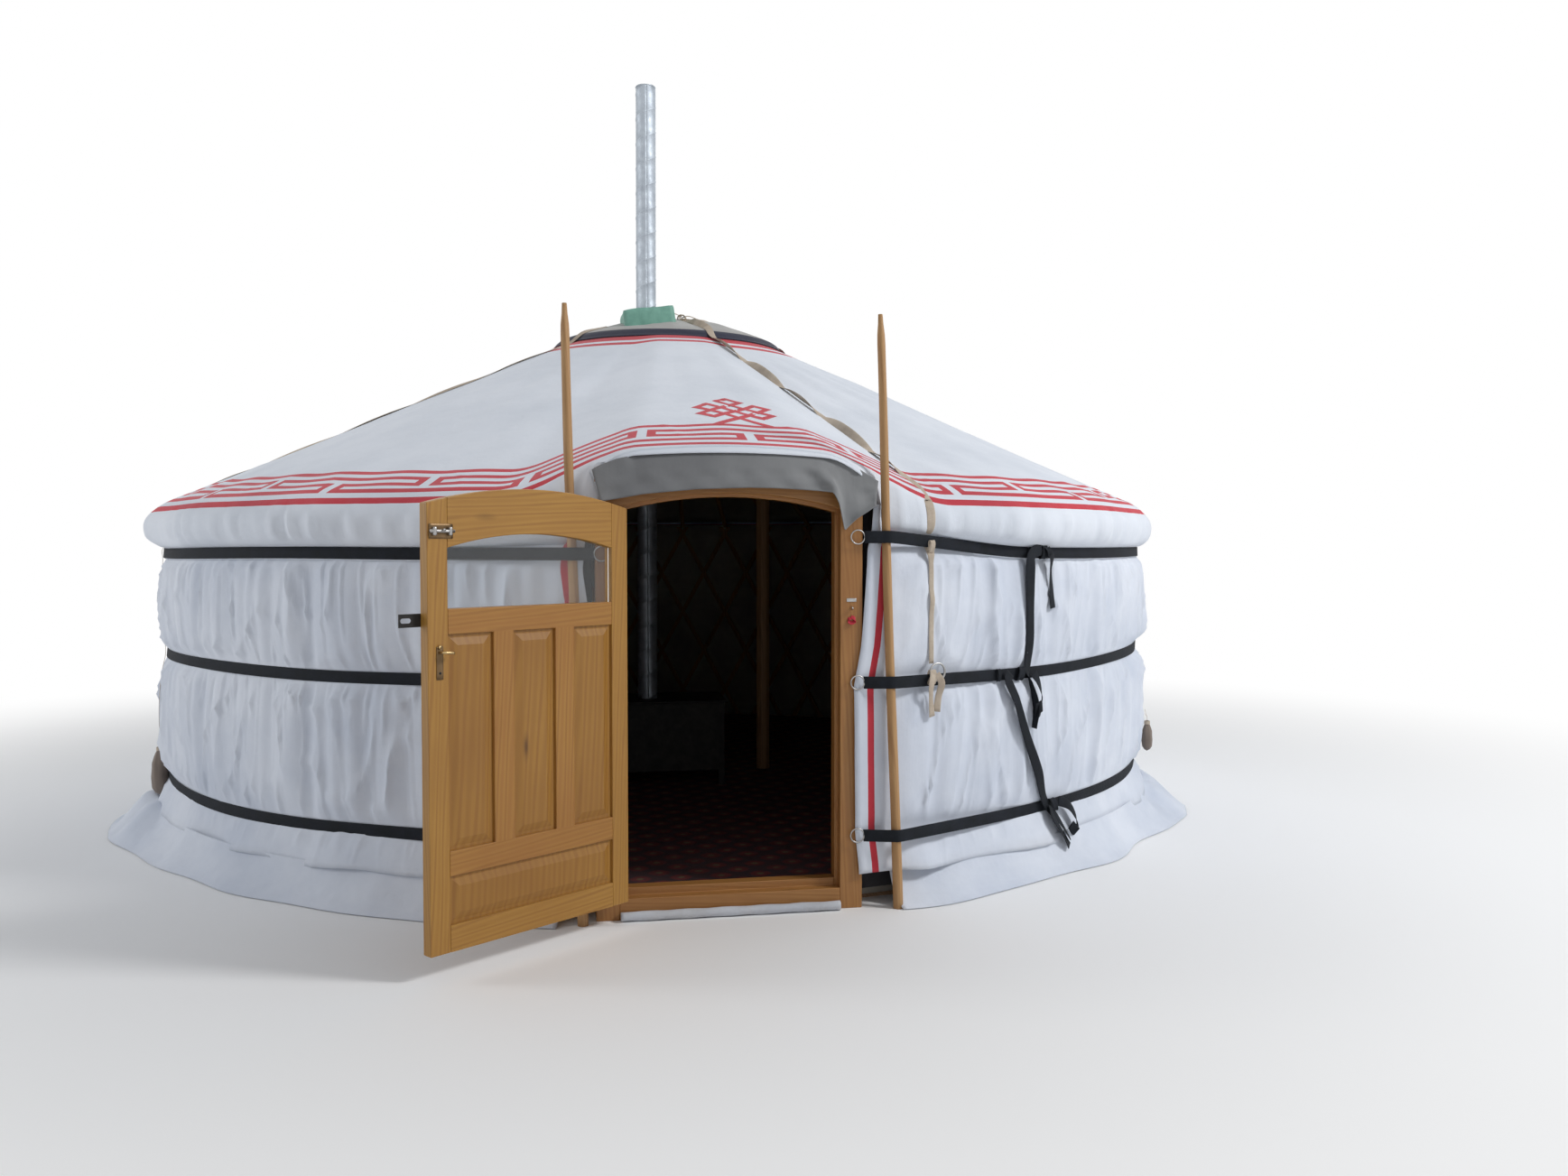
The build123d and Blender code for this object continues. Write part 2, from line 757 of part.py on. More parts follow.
for index in range(lattice_sections):
    lattice = lattice_section(lattice_start + index * section_columns * column_angle)
    lattice.part.label = f"lattice_{index + 1}"
    export_step(lattice.part, f"parts/lattice_{index + 1}.step")

# Wall covers in flat facets, parted at the doorway and at even seams, with an upstand beside the raised roof
wall_corners = [cover_start + index * cover_facet for index in range(cover_count * cover_facets + 1)]


def wall_outline(azimuths):
    """Plan outline of a stretch of wall cover."""
    outer_points = [at_azimuth(cover_radius, azimuth) for azimuth in azimuths]
    inner_points = [at_azimuth(cover_inner_radius, azimuth) for azimuth in azimuths]
    return outer_points + inner_points[::-1]


for index in range(cover_count):
    first_corner = index * cover_facets
    cover_corners = wall_corners[first_corner:first_corner + cover_facets + 1]
    with BuildPart() as wall_cover:
        with BuildSketch(Plane.XY):
            with BuildLine():
                Polyline(*wall_outline(cover_corners), close=True)
            make_face()
        extrude(amount=cover_top)
        if index in (0, cover_count - 1):
            upstand_corners = cover_corners[:2] if index == 0 else cover_corners[-2:]
            with BuildSketch(Plane.XY):
                with BuildLine():
                    Polyline(*wall_outline(upstand_corners), close=True)
                make_face()
                Rectangle(2 * upstand_half_width, 4 * cover_radius, mode=Mode.INTERSECT)
            extrude(amount=cover_top + upstand_height)
            with Locations((0, -cover_radius, 0)):
                Box(2 * side_cut, cover_radius, 3 * cover_top, mode=Mode.SUBTRACT)
    wall_cover.part.label = f"wall_cover_{index + 1}"
    export_step(wall_cover.part, f"parts/wall_cover_{index + 1}.step")

# Roof poles, set round the crown wheel and resting on the lattice and on the door head
pole_azimuths = [index * column_angle for index in range(round(360 / column_angle))]
with BuildPart() as roof_poles:
    for azimuth in pole_azimuths:
        lift_azimuth = azimuth if lift_share(azimuth) > 0.9 else 180
        low = (*at_azimuth(pole_end_radius, azimuth), pole_height(pole_end_radius, lift_azimuth))
        high_radius = crown_outer_radius + pole_radius / 2 + seat_gap
        high = (*at_azimuth(high_radius, azimuth), pole_height(high_radius, lift_azimuth))
        run = Vector(*high) - Vector(*low)
        with BuildSketch(Plane(origin=low, x_dir=(*at_azimuth(1, azimuth + 90), 0), z_dir=run)):
            RegularPolygon(pole_radius, pole_sides, rotation=90)
        extrude(amount=run.length)
roof_poles.part.label = "roof_poles"
export_step(roof_poles.part, "parts/roof_poles.step")

# Crown wheel: a ring that takes the poles, a hub and bent ribs between them
crown_inner_radius = crown_outer_radius - crown_ring_width
crown_mid_radius = crown_outer_radius - crown_ring_width / 2


def crown_cover_height(radius):
    """Height of the top of the crown cover at a radius."""
    share = 1 - (radius / crown_cover_radius) ** crown_cover_curve
    return crown_rim_height + crown_cover_rise * share


rim_rest_radius = (crown_cover_radius - crown_cover_thickness) * math.cos(math.pi / crown_sides)
crown_rim_bottom = roof_top_height(rim_rest_radius, 0) + seat_gap
crown_rim_height = crown_rim_bottom + crown_rim_depth
hub_top = crown_cover_height(hub_radius) - crown_cover_thickness - rib_cover_gap
rib_middle_radius = (hub_radius + crown_inner_radius) / 2
rib_middle_height = crown_cover_height(rib_middle_radius) - crown_cover_thickness - rib_cover_gap
ring_flat_turn = 180 / (2 * crown_sides)
with BuildPart() as crown_ring:
    with BuildSketch(Plane.XY.offset(crown_ring_top - crown_ring_height)):
        RegularPolygon(crown_outer_radius, 2 * crown_sides, major_radius=False, rotation=ring_flat_turn)
        RegularPolygon(crown_inner_radius, crown_sides, major_radius=False, rotation=2 * ring_flat_turn,
                       mode=Mode.SUBTRACT)
    extrude(amount=crown_ring_height)
crown_ring.part.label = "crown_ring"
export_step(crown_ring.part, "parts/crown_ring.step")

hub_turn = 180 / hub_sides
with BuildPart() as crown_hub:
    with BuildSketch(Plane.XY.offset(hub_top - crown_rib_depth)):
        RegularPolygon(hub_radius, hub_sides, major_radius=False, rotation=hub_turn)
        RegularPolygon(hub_radius - hub_width, hub_sides, major_radius=False, rotation=hub_turn,
                       mode=Mode.SUBTRACT)
    extrude(amount=crown_rib_depth)
crown_hub.part.label = "crown_hub"
export_step(crown_hub.part, "parts/crown_hub.step")

rib_foot = crown_inner_radius + rib_foot_inset
with BuildPart() as crown_ribs:
    for index in range(crown_rib_count):
        azimuth = index * 360 / crown_rib_count
        with BuildSketch(radial_plane(azimuth).offset(-crown_rib_width / 2)):
            with BuildLine():
                Polyline(
                    (hub_radius + seat_gap, hub_top),
                    (rib_middle_radius, rib_middle_height),
                    (rib_foot + crown_rib_depth, crown_ring_top + rib_foot_height),
                    (rib_foot + crown_rib_depth, crown_ring_top + seat_gap),
                    (rib_foot, crown_ring_top + seat_gap),
                    (rib_middle_radius, rib_middle_height - crown_rib_depth),
                    (hub_radius + seat_gap, hub_top - crown_rib_depth),
                    close=True,
                )
            make_face()
        extrude(amount=crown_rib_width)
crown_ribs.part.label = "crown_ribs"
export_step(crown_ribs.part, "parts/crown_ribs.step")

crown_underside = crown_ring_top - crown_ring_height
with BuildPart() as crown_posts:
    for side in (-1, 1):
        with BuildSketch(Plane.XY.offset(floor_top)):
            with Locations((side * crown_mid_radius, 0)):
                RegularPolygon(post_radius, post_sides, major_radius=False, rotation=180 / post_sides)
        extrude(amount=crown_underside - floor_top - post_capital_height / 2)
        capital_origin = (side * crown_mid_radius, 0, crown_underside)
        capital_plane = Plane(origin=capital_origin, x_dir=(0, 1, 0), z_dir=(1, 0, 0))
        with BuildSketch(capital_plane):
            with BuildLine():
                Polyline(
                    (-post_capital_width / 2, 0),
                    (-post_capital_width / 2, -post_capital_height / 4),
                    (-post_radius, -post_capital_height),
                    (post_radius, -post_capital_height),
                    (post_capital_width / 2, -post_capital_height / 4),
                    (post_capital_width / 2, 0),
                    close=True,
                )
            make_face()
        extrude(amount=post_radius, both=True)
crown_posts.part.label = "crown_posts"
export_step(crown_posts.part, "parts/crown_posts.step")

# Roof covers in flat facets between the poles. The front one has two raised facets between two warped ones.
front_half_angle = raised_half_angle + raised_fade_angle
raised_facet = facet_solid(roof_section(0), column_angle)
raised_side = crease_solid(roof_section(0), raised_half_angle, roof_section(180), front_half_angle)
with BuildPart() as roof_cover_front:
    with PolarLocations(0, 2, start_angle=-column_angle / 2, angular_range=2 * column_angle):
        add(raised_facet)
    add(raised_side)
    mirror(raised_side, about=Plane.YZ)
    with Locations((0, -frame_back + seat_gap, frame_top + seat_gap)):
        Box(2 * side_cut, 2 * frame_depth, frame_top,
            align=(Align.CENTER, Align.MAX, Align.MAX), mode=Mode.SUBTRACT)
    with Locations((0, -frame_front, raised_edge_height)):
        Box(2 * side_cut, 2 * frame_depth, frame_top,
            align=(Align.CENTER, Align.MAX, Align.MAX), mode=Mode.SUBTRACT)
roof_cover_front.part.label = "roof_cover_front"
export_step(roof_cover_front.part, "parts/roof_cover_front.step")

plain_facet = facet_solid(roof_section(180), column_angle)
plain_facet_count = round((360 - 2 * front_half_angle) / column_angle)
side_facet_count = round(plain_facet_count / 3)
facet_shares = (
    ("roof_cover_right", 0, side_facet_count),
    ("roof_cover_back", side_facet_count, plain_facet_count - side_facet_count),
    ("roof_cover_left", plain_facet_count - side_facet_count, plain_facet_count),
)
for name, first_facet, last_facet in facet_shares:
    facet_count = last_facet - first_facet
    with BuildPart() as roof_cover:
        with PolarLocations(0, facet_count, start_angle=front_half_angle + (first_facet + 0.5) * column_angle,
                            angular_range=facet_count * column_angle):
            add(plain_facet)
    roof_cover.part.label = name
    export_step(roof_cover.part, f"parts/{name}.step")

# Chimney box, tilted on the slope of the crown cover
box_plane = Plane(origin=(pipe_x, pipe_y, box_top), x_dir=(1, 0, math.tan(math.radians(box_tilt))),
                  z_dir=(-math.sin(math.radians(box_tilt)), 0, math.cos(math.radians(box_tilt))))
pipe_azimuth = math.degrees(math.atan2(pipe_x, -pipe_y))
rib_run = crown_inner_radius + crown_rib_depth - rib_middle_radius
rib_clear_slope = math.atan2(rib_middle_height - crown_ring_top, rib_run)
rib_clear_plane = Plane(
    origin=(*at_azimuth(rib_middle_radius, pipe_azimuth), rib_middle_height + seat_gap),
    z_dir=(*at_azimuth(math.sin(rib_clear_slope), pipe_azimuth), math.cos(rib_clear_slope)),
)
with BuildPart() as chimney_box:
    with BuildSketch(box_plane):
        Rectangle(box_width, box_width)
    extrude(amount=-box_height)
    with BuildSketch(box_plane.offset(-box_wall)):
        Rectangle(box_width - 2 * box_wall, box_width - 2 * box_wall)
    extrude(amount=-box_height, mode=Mode.SUBTRACT)
    with BuildSketch(Plane.XY.offset(crown_ring_top)):
        with Locations((pipe_x, pipe_y)):
            RegularPolygon(pipe_radius + box_pipe_gap, crown_sides, major_radius=False)
    extrude(amount=2 * box_width, mode=Mode.SUBTRACT)
    with BuildSketch(rib_clear_plane):
        Rectangle(4 * box_width, 4 * box_width)
    extrude(amount=-2 * box_height, mode=Mode.SUBTRACT)
chimney_box.part.label = "chimney_box"
export_step(chimney_box.part, "parts/chimney_box.step")

# Crown cover over the wheel in flat facets, with a square opening round the chimney box


def crown_steps(inset):
    """Radius and height of each ring of corners, from the rim up, set in by a thickness."""
    steps = [(crown_cover_radius - inset, crown_rim_bottom)]
    for level in range(crown_cover_levels + 1):
        radius = crown_cover_radius * (1 - level / (crown_cover_levels + 1))
        steps.append((radius - inset, crown_cover_height(radius) - inset))
    return steps


with BuildPart() as crown_cover:
    for inset, layer_mode in ((0, Mode.ADD), (crown_cover_thickness, Mode.SUBTRACT)):
        steps = crown_steps(inset)
        for (low_radius, low_height), (high_radius, high_height) in zip(steps, steps[1:]):
            with BuildSketch(Plane.XY.offset(low_height)):
                RegularPolygon(low_radius, crown_sides)
            narrowing = (low_radius - high_radius) * math.cos(math.pi / crown_sides)
            extrude(amount=high_height - low_height,
                    taper=math.degrees(math.atan2(narrowing, high_height - low_height)), mode=layer_mode)
    with BuildSketch(box_plane):
        Rectangle(box_width + 2 * seat_gap, box_width + 2 * seat_gap)
    extrude(amount=2 * box_height, both=True, mode=Mode.SUBTRACT)
crown_cover.part.label = "crown_cover"
export_step(crown_cover.part, "parts/crown_cover.step")

# Stove on four legs, with the chimney pipe standing on its top
stove_bottom = floor_top + stove_leg_height
stove_top = stove_bottom + stove_height
with BuildPart() as stove:
    with Locations((stove_x, stove_y, stove_bottom)):
        Box(stove_length, stove_depth, stove_height, align=(Align.CENTER, Align.CENTER, Align.MIN))
    leg_x = (stove_length - stove_leg_width) / 2
    leg_y = (stove_depth - stove_leg_width) / 2
    for side_x in (-1, 1):
        for side_y in (-1, 1):
            with Locations((stove_x + side_x * leg_x, stove_y + side_y * leg_y, floor_top)):
                Box(stove_leg_width, stove_leg_width, stove_leg_height, align=(Align.CENTER, Align.CENTER, Align.MIN))
    with Locations((stove_x, stove_y, stove_top)):
        Box(stove_length + 2 * stove_top_overhang, stove_depth + 2 * stove_top_overhang, stove_top_thickness,
            align=(Align.CENTER, Align.CENTER, Align.MIN))
stove.part.label = "stove"
export_step(stove.part, "parts/stove.step")

pipe_foot = stove_top + stove_top_thickness
with BuildPart() as chimney_pipe:
    with BuildSketch(Plane.XY.offset(pipe_foot)):
        with Locations((pipe_x, pipe_y)):
            Circle(pipe_radius)
            Circle(pipe_radius - pipe_wall, mode=Mode.SUBTRACT)
    extrude(amount=pipe_top - pipe_foot)
chimney_pipe.part.label = "chimney_pipe"
export_step(chimney_pipe.part, "parts/chimney_pipe.step")


def door_pole_y(height, x):
    """Front-back place of a door pole, leaning on the eave from its foot out in front."""
    eave_y = -math.sqrt((eave_radius + door_pole_radius + seat_gap) ** 2 - x * x)
    return eave_y - door_pole_foot_lean * (1 - height / eave_height)


# Poles beside the door, standing on the ground and leaning on the eave
pole_ends = ((left_pole_foot_x, left_pole_top_x), (right_pole_foot_x, right_pole_top_x))
with BuildPart() as door_poles:
    for foot_x, top_x in pole_ends:
        touch_x = blend(foot_x, top_x, eave_height / door_pole_top)
        foot = Vector(foot_x, door_pole_y(0, touch_x), 0)
        run = Vector(top_x, door_pole_y(door_pole_top, touch_x), door_pole_top) - foot
        with BuildSketch(Plane(origin=foot - run.normalized() * door_pole_radius, z_dir=run)):
            RegularPolygon(door_pole_radius, door_pole_sides, major_radius=False)
        extrude(amount=run.length, taper=math.degrees(math.atan2(door_pole_taper, run.length)))
    with Locations((0, -eave_radius, 0)):
        Box(2 * eave_radius, 2 * cover_radius, door_pole_top,
            align=(Align.CENTER, Align.CENTER, Align.MIN), mode=Mode.INTERSECT)
door_poles.part.label = "door_poles"
export_step(door_poles.part, "parts/door_poles.step")


def band_front_points(side, height):
    """Plan points of a band's middle line from its ring at the frame, round the front of the door pole."""
    foot_x, top_x = pole_ends[1] if side > 0 else pole_ends[0]
    pole_x = blend(foot_x, top_x, height / door_pole_top)
    touch_x = blend(foot_x, top_x, eave_height / door_pole_top)
    stand_off = door_pole_radius + seat_gap + band_thickness / 2
    front = door_pole_y(height - band_width / 2, touch_x) - stand_off
    return [
        (side * (ring_x + ring_radius + band_thickness), -ring_stand_off),
        (pole_x - side * door_pole_radius, front),
        (pole_x + side * door_pole_radius, front),
    ]


ring_stand_off = frame_front + seat_gap + ring_wire_radius
band_corners = wall_corners[band_first_corner:-band_first_corner]
band_middle_radius = cover_radius + (seat_gap + band_thickness / 2) / math.cos(math.radians(cover_facet / 2))
for height, name in zip(band_heights, ("band_top", "band_middle", "band_bottom")):
    wall_points = [at_azimuth(band_middle_radius, azimuth) for azimuth in band_corners]
    right_points = band_front_points(1, height)
    left_points = band_front_points(-1, height)
    with BuildPart() as band:
        with BuildSketch(Plane.XY.offset(height - band_width / 2)):
            with BuildLine():
                Polyline(*right_points, *wall_points, *reversed(left_points))
            trace(line_width=band_thickness)
        extrude(amount=band_width)
    band.part.label = name
    export_step(band.part, f"parts/{name}.step")

# Steel rings that lie on the door jambs and hold the ends of the bands
with BuildPart() as band_rings:
    for side in (-1, 1):
        for height in band_heights:
            ring_origin = (side * ring_x, -ring_stand_off, height)
            with BuildSketch(Plane(origin=ring_origin, x_dir=(1, 0, 0), z_dir=(0, -1, 0))):
                RegularPolygon(ring_radius, ring_sides)
                RegularPolygon(ring_radius - 2 * ring_wire_radius, ring_sides, mode=Mode.SUBTRACT)
            extrude(amount=ring_wire_radius, both=True)
band_rings.part.label = "band_rings"
export_step(band_rings.part, "parts/band_rings.step")


def offset_line(points, distance):
    """Points moved outwards from an outline by one distance, with mitred corners."""
    moved = []
    for index, point in enumerate(points):
        before = points[max(index - 1, 0)]
        after = points[min(index + 1, len(points) - 1)]
        turns = []
        for start, end in ((before, point), (point, after)):
            run = math.hypot(end[0] - start[0], end[1] - start[1])
            if run > 0:
                turns.append(((start[1] - end[1]) / run, (end[0] - start[0]) / run))
        normal_x = sum(turn[0] for turn in turns) / len(turns)
        normal_y = sum(turn[1] for turn in turns) / len(turns)
        stretch = distance / (normal_x * normal_x + normal_y * normal_y)
        moved.append((point[0] + normal_x * stretch, point[1] + normal_y * stretch))
    return moved


# Straps from the crown cover over the eave and down to the middle band, each flat on a facet of the roof
strap_rest = seat_gap + strap_thickness / 2
facet_share = math.cos(math.radians(column_angle / 2))
strap_wall = strap_hem_clearance + band_middle_radius + band_thickness / 2 + strap_rest
with BuildPart() as crown_straps:
    for azimuth in strap_facets:
        strap_start = crown_cover_radius + seat_gap
        corner_line = [(strap_start, roof_top_height(strap_start, 180))] + plain_outer_points()[1:]
        facet_line = [(radius * facet_share, height) for radius, height in corner_line]
        strap_line = offset_line(facet_line, strap_rest)
        strap_line.append((strap_wall, band_heights[0] + band_width / 2 - strap_thickness))
        strap_line.append((strap_wall, strap_end_height - band_width / 2))
        with BuildSketch(radial_plane(azimuth)):
            with BuildLine():
                Polyline(*strap_line)
            trace(line_width=strap_thickness)
        extrude(amount=strap_width / 2, both=True)
crown_straps.part.label = "crown_straps"
export_step(crown_straps.part, "parts/crown_straps.step")

# Hood over the door head
hood_top = raised_edge_height - seat_gap
with BuildPart() as door_hood:
    with BuildSketch(front_plane.offset(frame_depth + seat_gap)):
        with BuildLine():
            hood_line = ThreePointArc(
                (-hood_half_width, hood_top - hood_side_drop),
                (0, hood_top - hood_middle_drop),
                (hood_half_width, hood_top - hood_side_drop),
            )
            Polyline(hood_line @ 1, (hood_half_width, hood_top), (-hood_half_width, hood_top), hood_line @ 0)
        make_face()
    extrude(amount=hood_thickness)
door_hood.part.label = "door_hood"
export_step(door_hood.part, "parts/door_hood.step")

# Skirt of canvas from the wall out over the ground, and the roll in front of the sill
skirt_inner = (cover_radius + seat_gap) / math.cos(math.radians(column_angle / 2))
skirt_outer = cover_radius + skirt_reach
skirt_section = [
    (skirt_inner, skirt_height),
    (skirt_inner + skirt_thickness, skirt_height),
    (skirt_fold_radius, skirt_fold_height),
    (skirt_outer, skirt_thickness),
    (skirt_outer, 0),
    (skirt_outer - 2 * skirt_thickness, 0),
    (skirt_fold_radius - skirt_thickness, skirt_fold_height - 1.5 * skirt_thickness),
    (skirt_inner, skirt_height - 3 * skirt_thickness),
]
skirt_facet = facet_solid(skirt_section, column_angle)
skirt_start_angle = (360 - skirt_facets * column_angle) / 2
with BuildPart() as ground_skirt:
    with PolarLocations(0, skirt_facets, start_angle=skirt_start_angle + column_angle / 2,
                        angular_range=skirt_facets * column_angle):
        add(skirt_facet)
ground_skirt.part.label = "ground_skirt"
export_step(ground_skirt.part, "parts/ground_skirt.step")

with BuildPart() as sill_roll:
    with Locations(Location((0, -frame_front - roll_radius - seat_gap, roll_radius), (0, 90, 0))):
        Cylinder(roll_radius, 2 * rebate_half_width)
sill_roll.part.label = "sill_roll"
export_step(sill_roll.part, "parts/sill_roll.step")
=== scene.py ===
import math

import bmesh
import bpy
import numpy as np
from mathutils import Matrix, Vector


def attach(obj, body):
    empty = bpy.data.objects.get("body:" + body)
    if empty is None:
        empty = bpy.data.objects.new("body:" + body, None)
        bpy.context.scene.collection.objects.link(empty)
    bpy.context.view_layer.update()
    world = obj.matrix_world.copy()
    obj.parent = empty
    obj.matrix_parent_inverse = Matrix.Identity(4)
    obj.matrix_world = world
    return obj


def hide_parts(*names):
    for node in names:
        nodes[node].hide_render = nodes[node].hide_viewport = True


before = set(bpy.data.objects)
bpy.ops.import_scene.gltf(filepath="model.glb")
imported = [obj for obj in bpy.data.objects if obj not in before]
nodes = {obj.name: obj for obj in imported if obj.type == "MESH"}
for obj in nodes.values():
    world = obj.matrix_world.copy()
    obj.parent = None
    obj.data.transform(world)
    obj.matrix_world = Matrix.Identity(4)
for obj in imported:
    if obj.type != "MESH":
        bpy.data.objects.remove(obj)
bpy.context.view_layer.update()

# Sizes shared with the solids, in metres
WALL_RADIUS = 2.785
CROWN_EDGE_RADIUS = 0.620
CROWN_EDGE_HEIGHT = 2.690
ROOF_BREAK_RADIUS = 2.740
ROOF_BREAK_HEIGHT = 1.718
EAVE_RADIUS = 2.865
EAVE_HEIGHT = 1.575
DOOR_LIFT = 0.150
RAISED_HALF_ANGLE = 7.5
RAISED_FADE_ANGLE = 12.0
FRAME_FRONT = 2.810
DOOR_OPEN_ANGLE = 142.0
HINGE = (-0.443, -2.822)
RING_X = 0.511
RING_WIRE = 0.0030
RING_RADIUS = 0.031
BAND_WIDTH = 0.050
STRAP_WIDTH = 0.042
POLE_COUNT = 48
PIPE = (-0.157, -0.330)
PIPE_RADIUS = 0.060
PIPE_FOOT = 0.572
PIPE_TOP = 4.163
CANVAS_THICK = 0.0025
WAVE_COUNT = 28


def smooth(x):
    x = np.clip(x, 0.0, 1.0)
    return x * x * (3 - 2 * x)


def blend_value(low, high, share):
    return low + (high - low) * share


def place(radius, azimuth, height):
    """Points at a radius, an azimuth in degrees from the door and a height."""
    turn = np.radians(azimuth)
    parts = np.broadcast_arrays(radius * np.sin(turn), -radius * np.cos(turn), height)
    return np.stack(parts, axis=-1).astype(float)


def away_from_door(azimuth):
    return np.abs((azimuth + 180.0) % 360.0 - 180.0)


def lift_share(azimuth):
    return 1 - smooth((away_from_door(azimuth) - RAISED_HALF_ANGLE) / RAISED_FADE_ANGLE)


def ripples(azimuth, along, seed, turns, rises):
    """Smooth seeded waves round the tent: whole waves a turn, and waves a metre along the cloth."""
    dice = np.random.default_rng(seed)
    total = 0.0
    for _ in range(WAVE_COUNT):
        wave = int(dice.integers(turns[0], turns[1] + 1))
        rise = dice.uniform(-rises, rises)
        phase = dice.uniform(0, 2 * math.pi)
        total = total + np.cos(np.radians(azimuth) * wave + 2 * math.pi * rise * along + phase)
    return total / math.sqrt(WAVE_COUNT / 2)


def creases(azimuth, along, seed, turns, rises, width):
    """Narrow rounded ridges along the zero lines of the waves."""
    waves = ripples(azimuth, along, seed, turns, rises)
    return np.exp(-((waves / width) ** 2))


def sharp_creases(azimuth, along, seed, turns, rises, width):
    """Ridges that come to a narrow crest along the zero lines of the waves."""
    waves = ripples(azimuth, along, seed, turns, rises)
    return np.exp(-np.abs(waves) / width)


def mesh_piece(name, vertices, faces, materials, face_slots=None, shade_smooth=True):
    mesh = bpy.data.meshes.new(name)
    mesh.from_pydata([tuple(v) for v in vertices], [], [tuple(f) for f in faces])
    for material in materials:
        mesh.materials.append(material)
    if face_slots is not None:
        mesh.polygons.foreach_set("material_index", np.asarray(face_slots, np.int32))
    mesh.polygons.foreach_set("use_smooth", np.full(len(mesh.polygons), shade_smooth))
    mesh.update()
    piece = bpy.data.objects.new(name, mesh)
    bpy.context.scene.collection.objects.link(piece)
    return piece


def grid_piece(name, points, materials, face_slots=None, closed=False, keep=None, thickness=0.0):
    """Surface through a grid of points, rows by columns. closed joins the last column to the first,
    keep picks faces, and a thickness goes inwards, or outwards when it is negative.
    """
    rows, columns = points.shape[:2]
    index = np.arange(rows * columns).reshape(rows, columns)
    after = np.roll(index, -1, axis=1) if closed else index[:, 1:]
    before = index if closed else index[:, :-1]
    faces = np.stack([before[:-1], after[:-1], after[1:], before[1:]], axis=-1)
    chosen = np.ones(faces.shape[:2], bool) if keep is None else keep
    slots = None if face_slots is None else face_slots[chosen]
    faces = faces[chosen]
    used, packed = np.unique(faces, return_inverse=True)
    points = points.reshape(-1, 3)[used]
    piece = mesh_piece(name, points, packed.reshape(faces.shape), materials, slots)
    if thickness:
        solid = piece.modifiers.new("thickness", "SOLIDIFY")
        solid.thickness = abs(thickness)
        solid.offset = -1.0 if thickness > 0 else 1.0
        solid.use_rim = True
    return piece


def tube_faces(count, size, closed=False, flip=False, base=0):
    """Faces over count loops of size points, with capped ends unless the tube is closed."""
    index = base + np.arange(count * size).reshape(count, size)
    here = index if closed else index[:-1]
    ahead = np.roll(index, -1, axis=0) if closed else index[1:]
    around = (here, np.roll(here, -1, axis=1), np.roll(ahead, -1, axis=1), ahead)
    faces = np.stack(around, axis=-1).reshape(-1, 4)
    if flip:
        faces = faces[:, [0, 3, 2, 1]]
    faces = faces.tolist()
    if not closed:
        turn = 1 if flip else -1
        faces += [index[0].tolist()[::turn], index[-1].tolist()[::-turn]]
    return faces


def same_way(line, x=0.0, y=0.0, z=0.0):
    """One direction for each point of a line."""
    return np.tile(np.array([x, y, z]), (len(line), 1))


def finish_piece(piece, body="tent", replaces=()):
    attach(piece, body)
    if replaces:
        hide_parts(*replaces)
    return piece


# Materials
def new_material(name, colour, roughness=0.6, metallic=0.0):
    material = bpy.data.materials.new(name)
    material.use_nodes = True
    shader = material.node_tree.nodes["Principled BSDF"]
    shader.inputs["Base Color"].default_value = (*colour, 1)
    shader.inputs["Roughness"].default_value = roughness
    shader.inputs["Metallic"].default_value = metallic
    return material


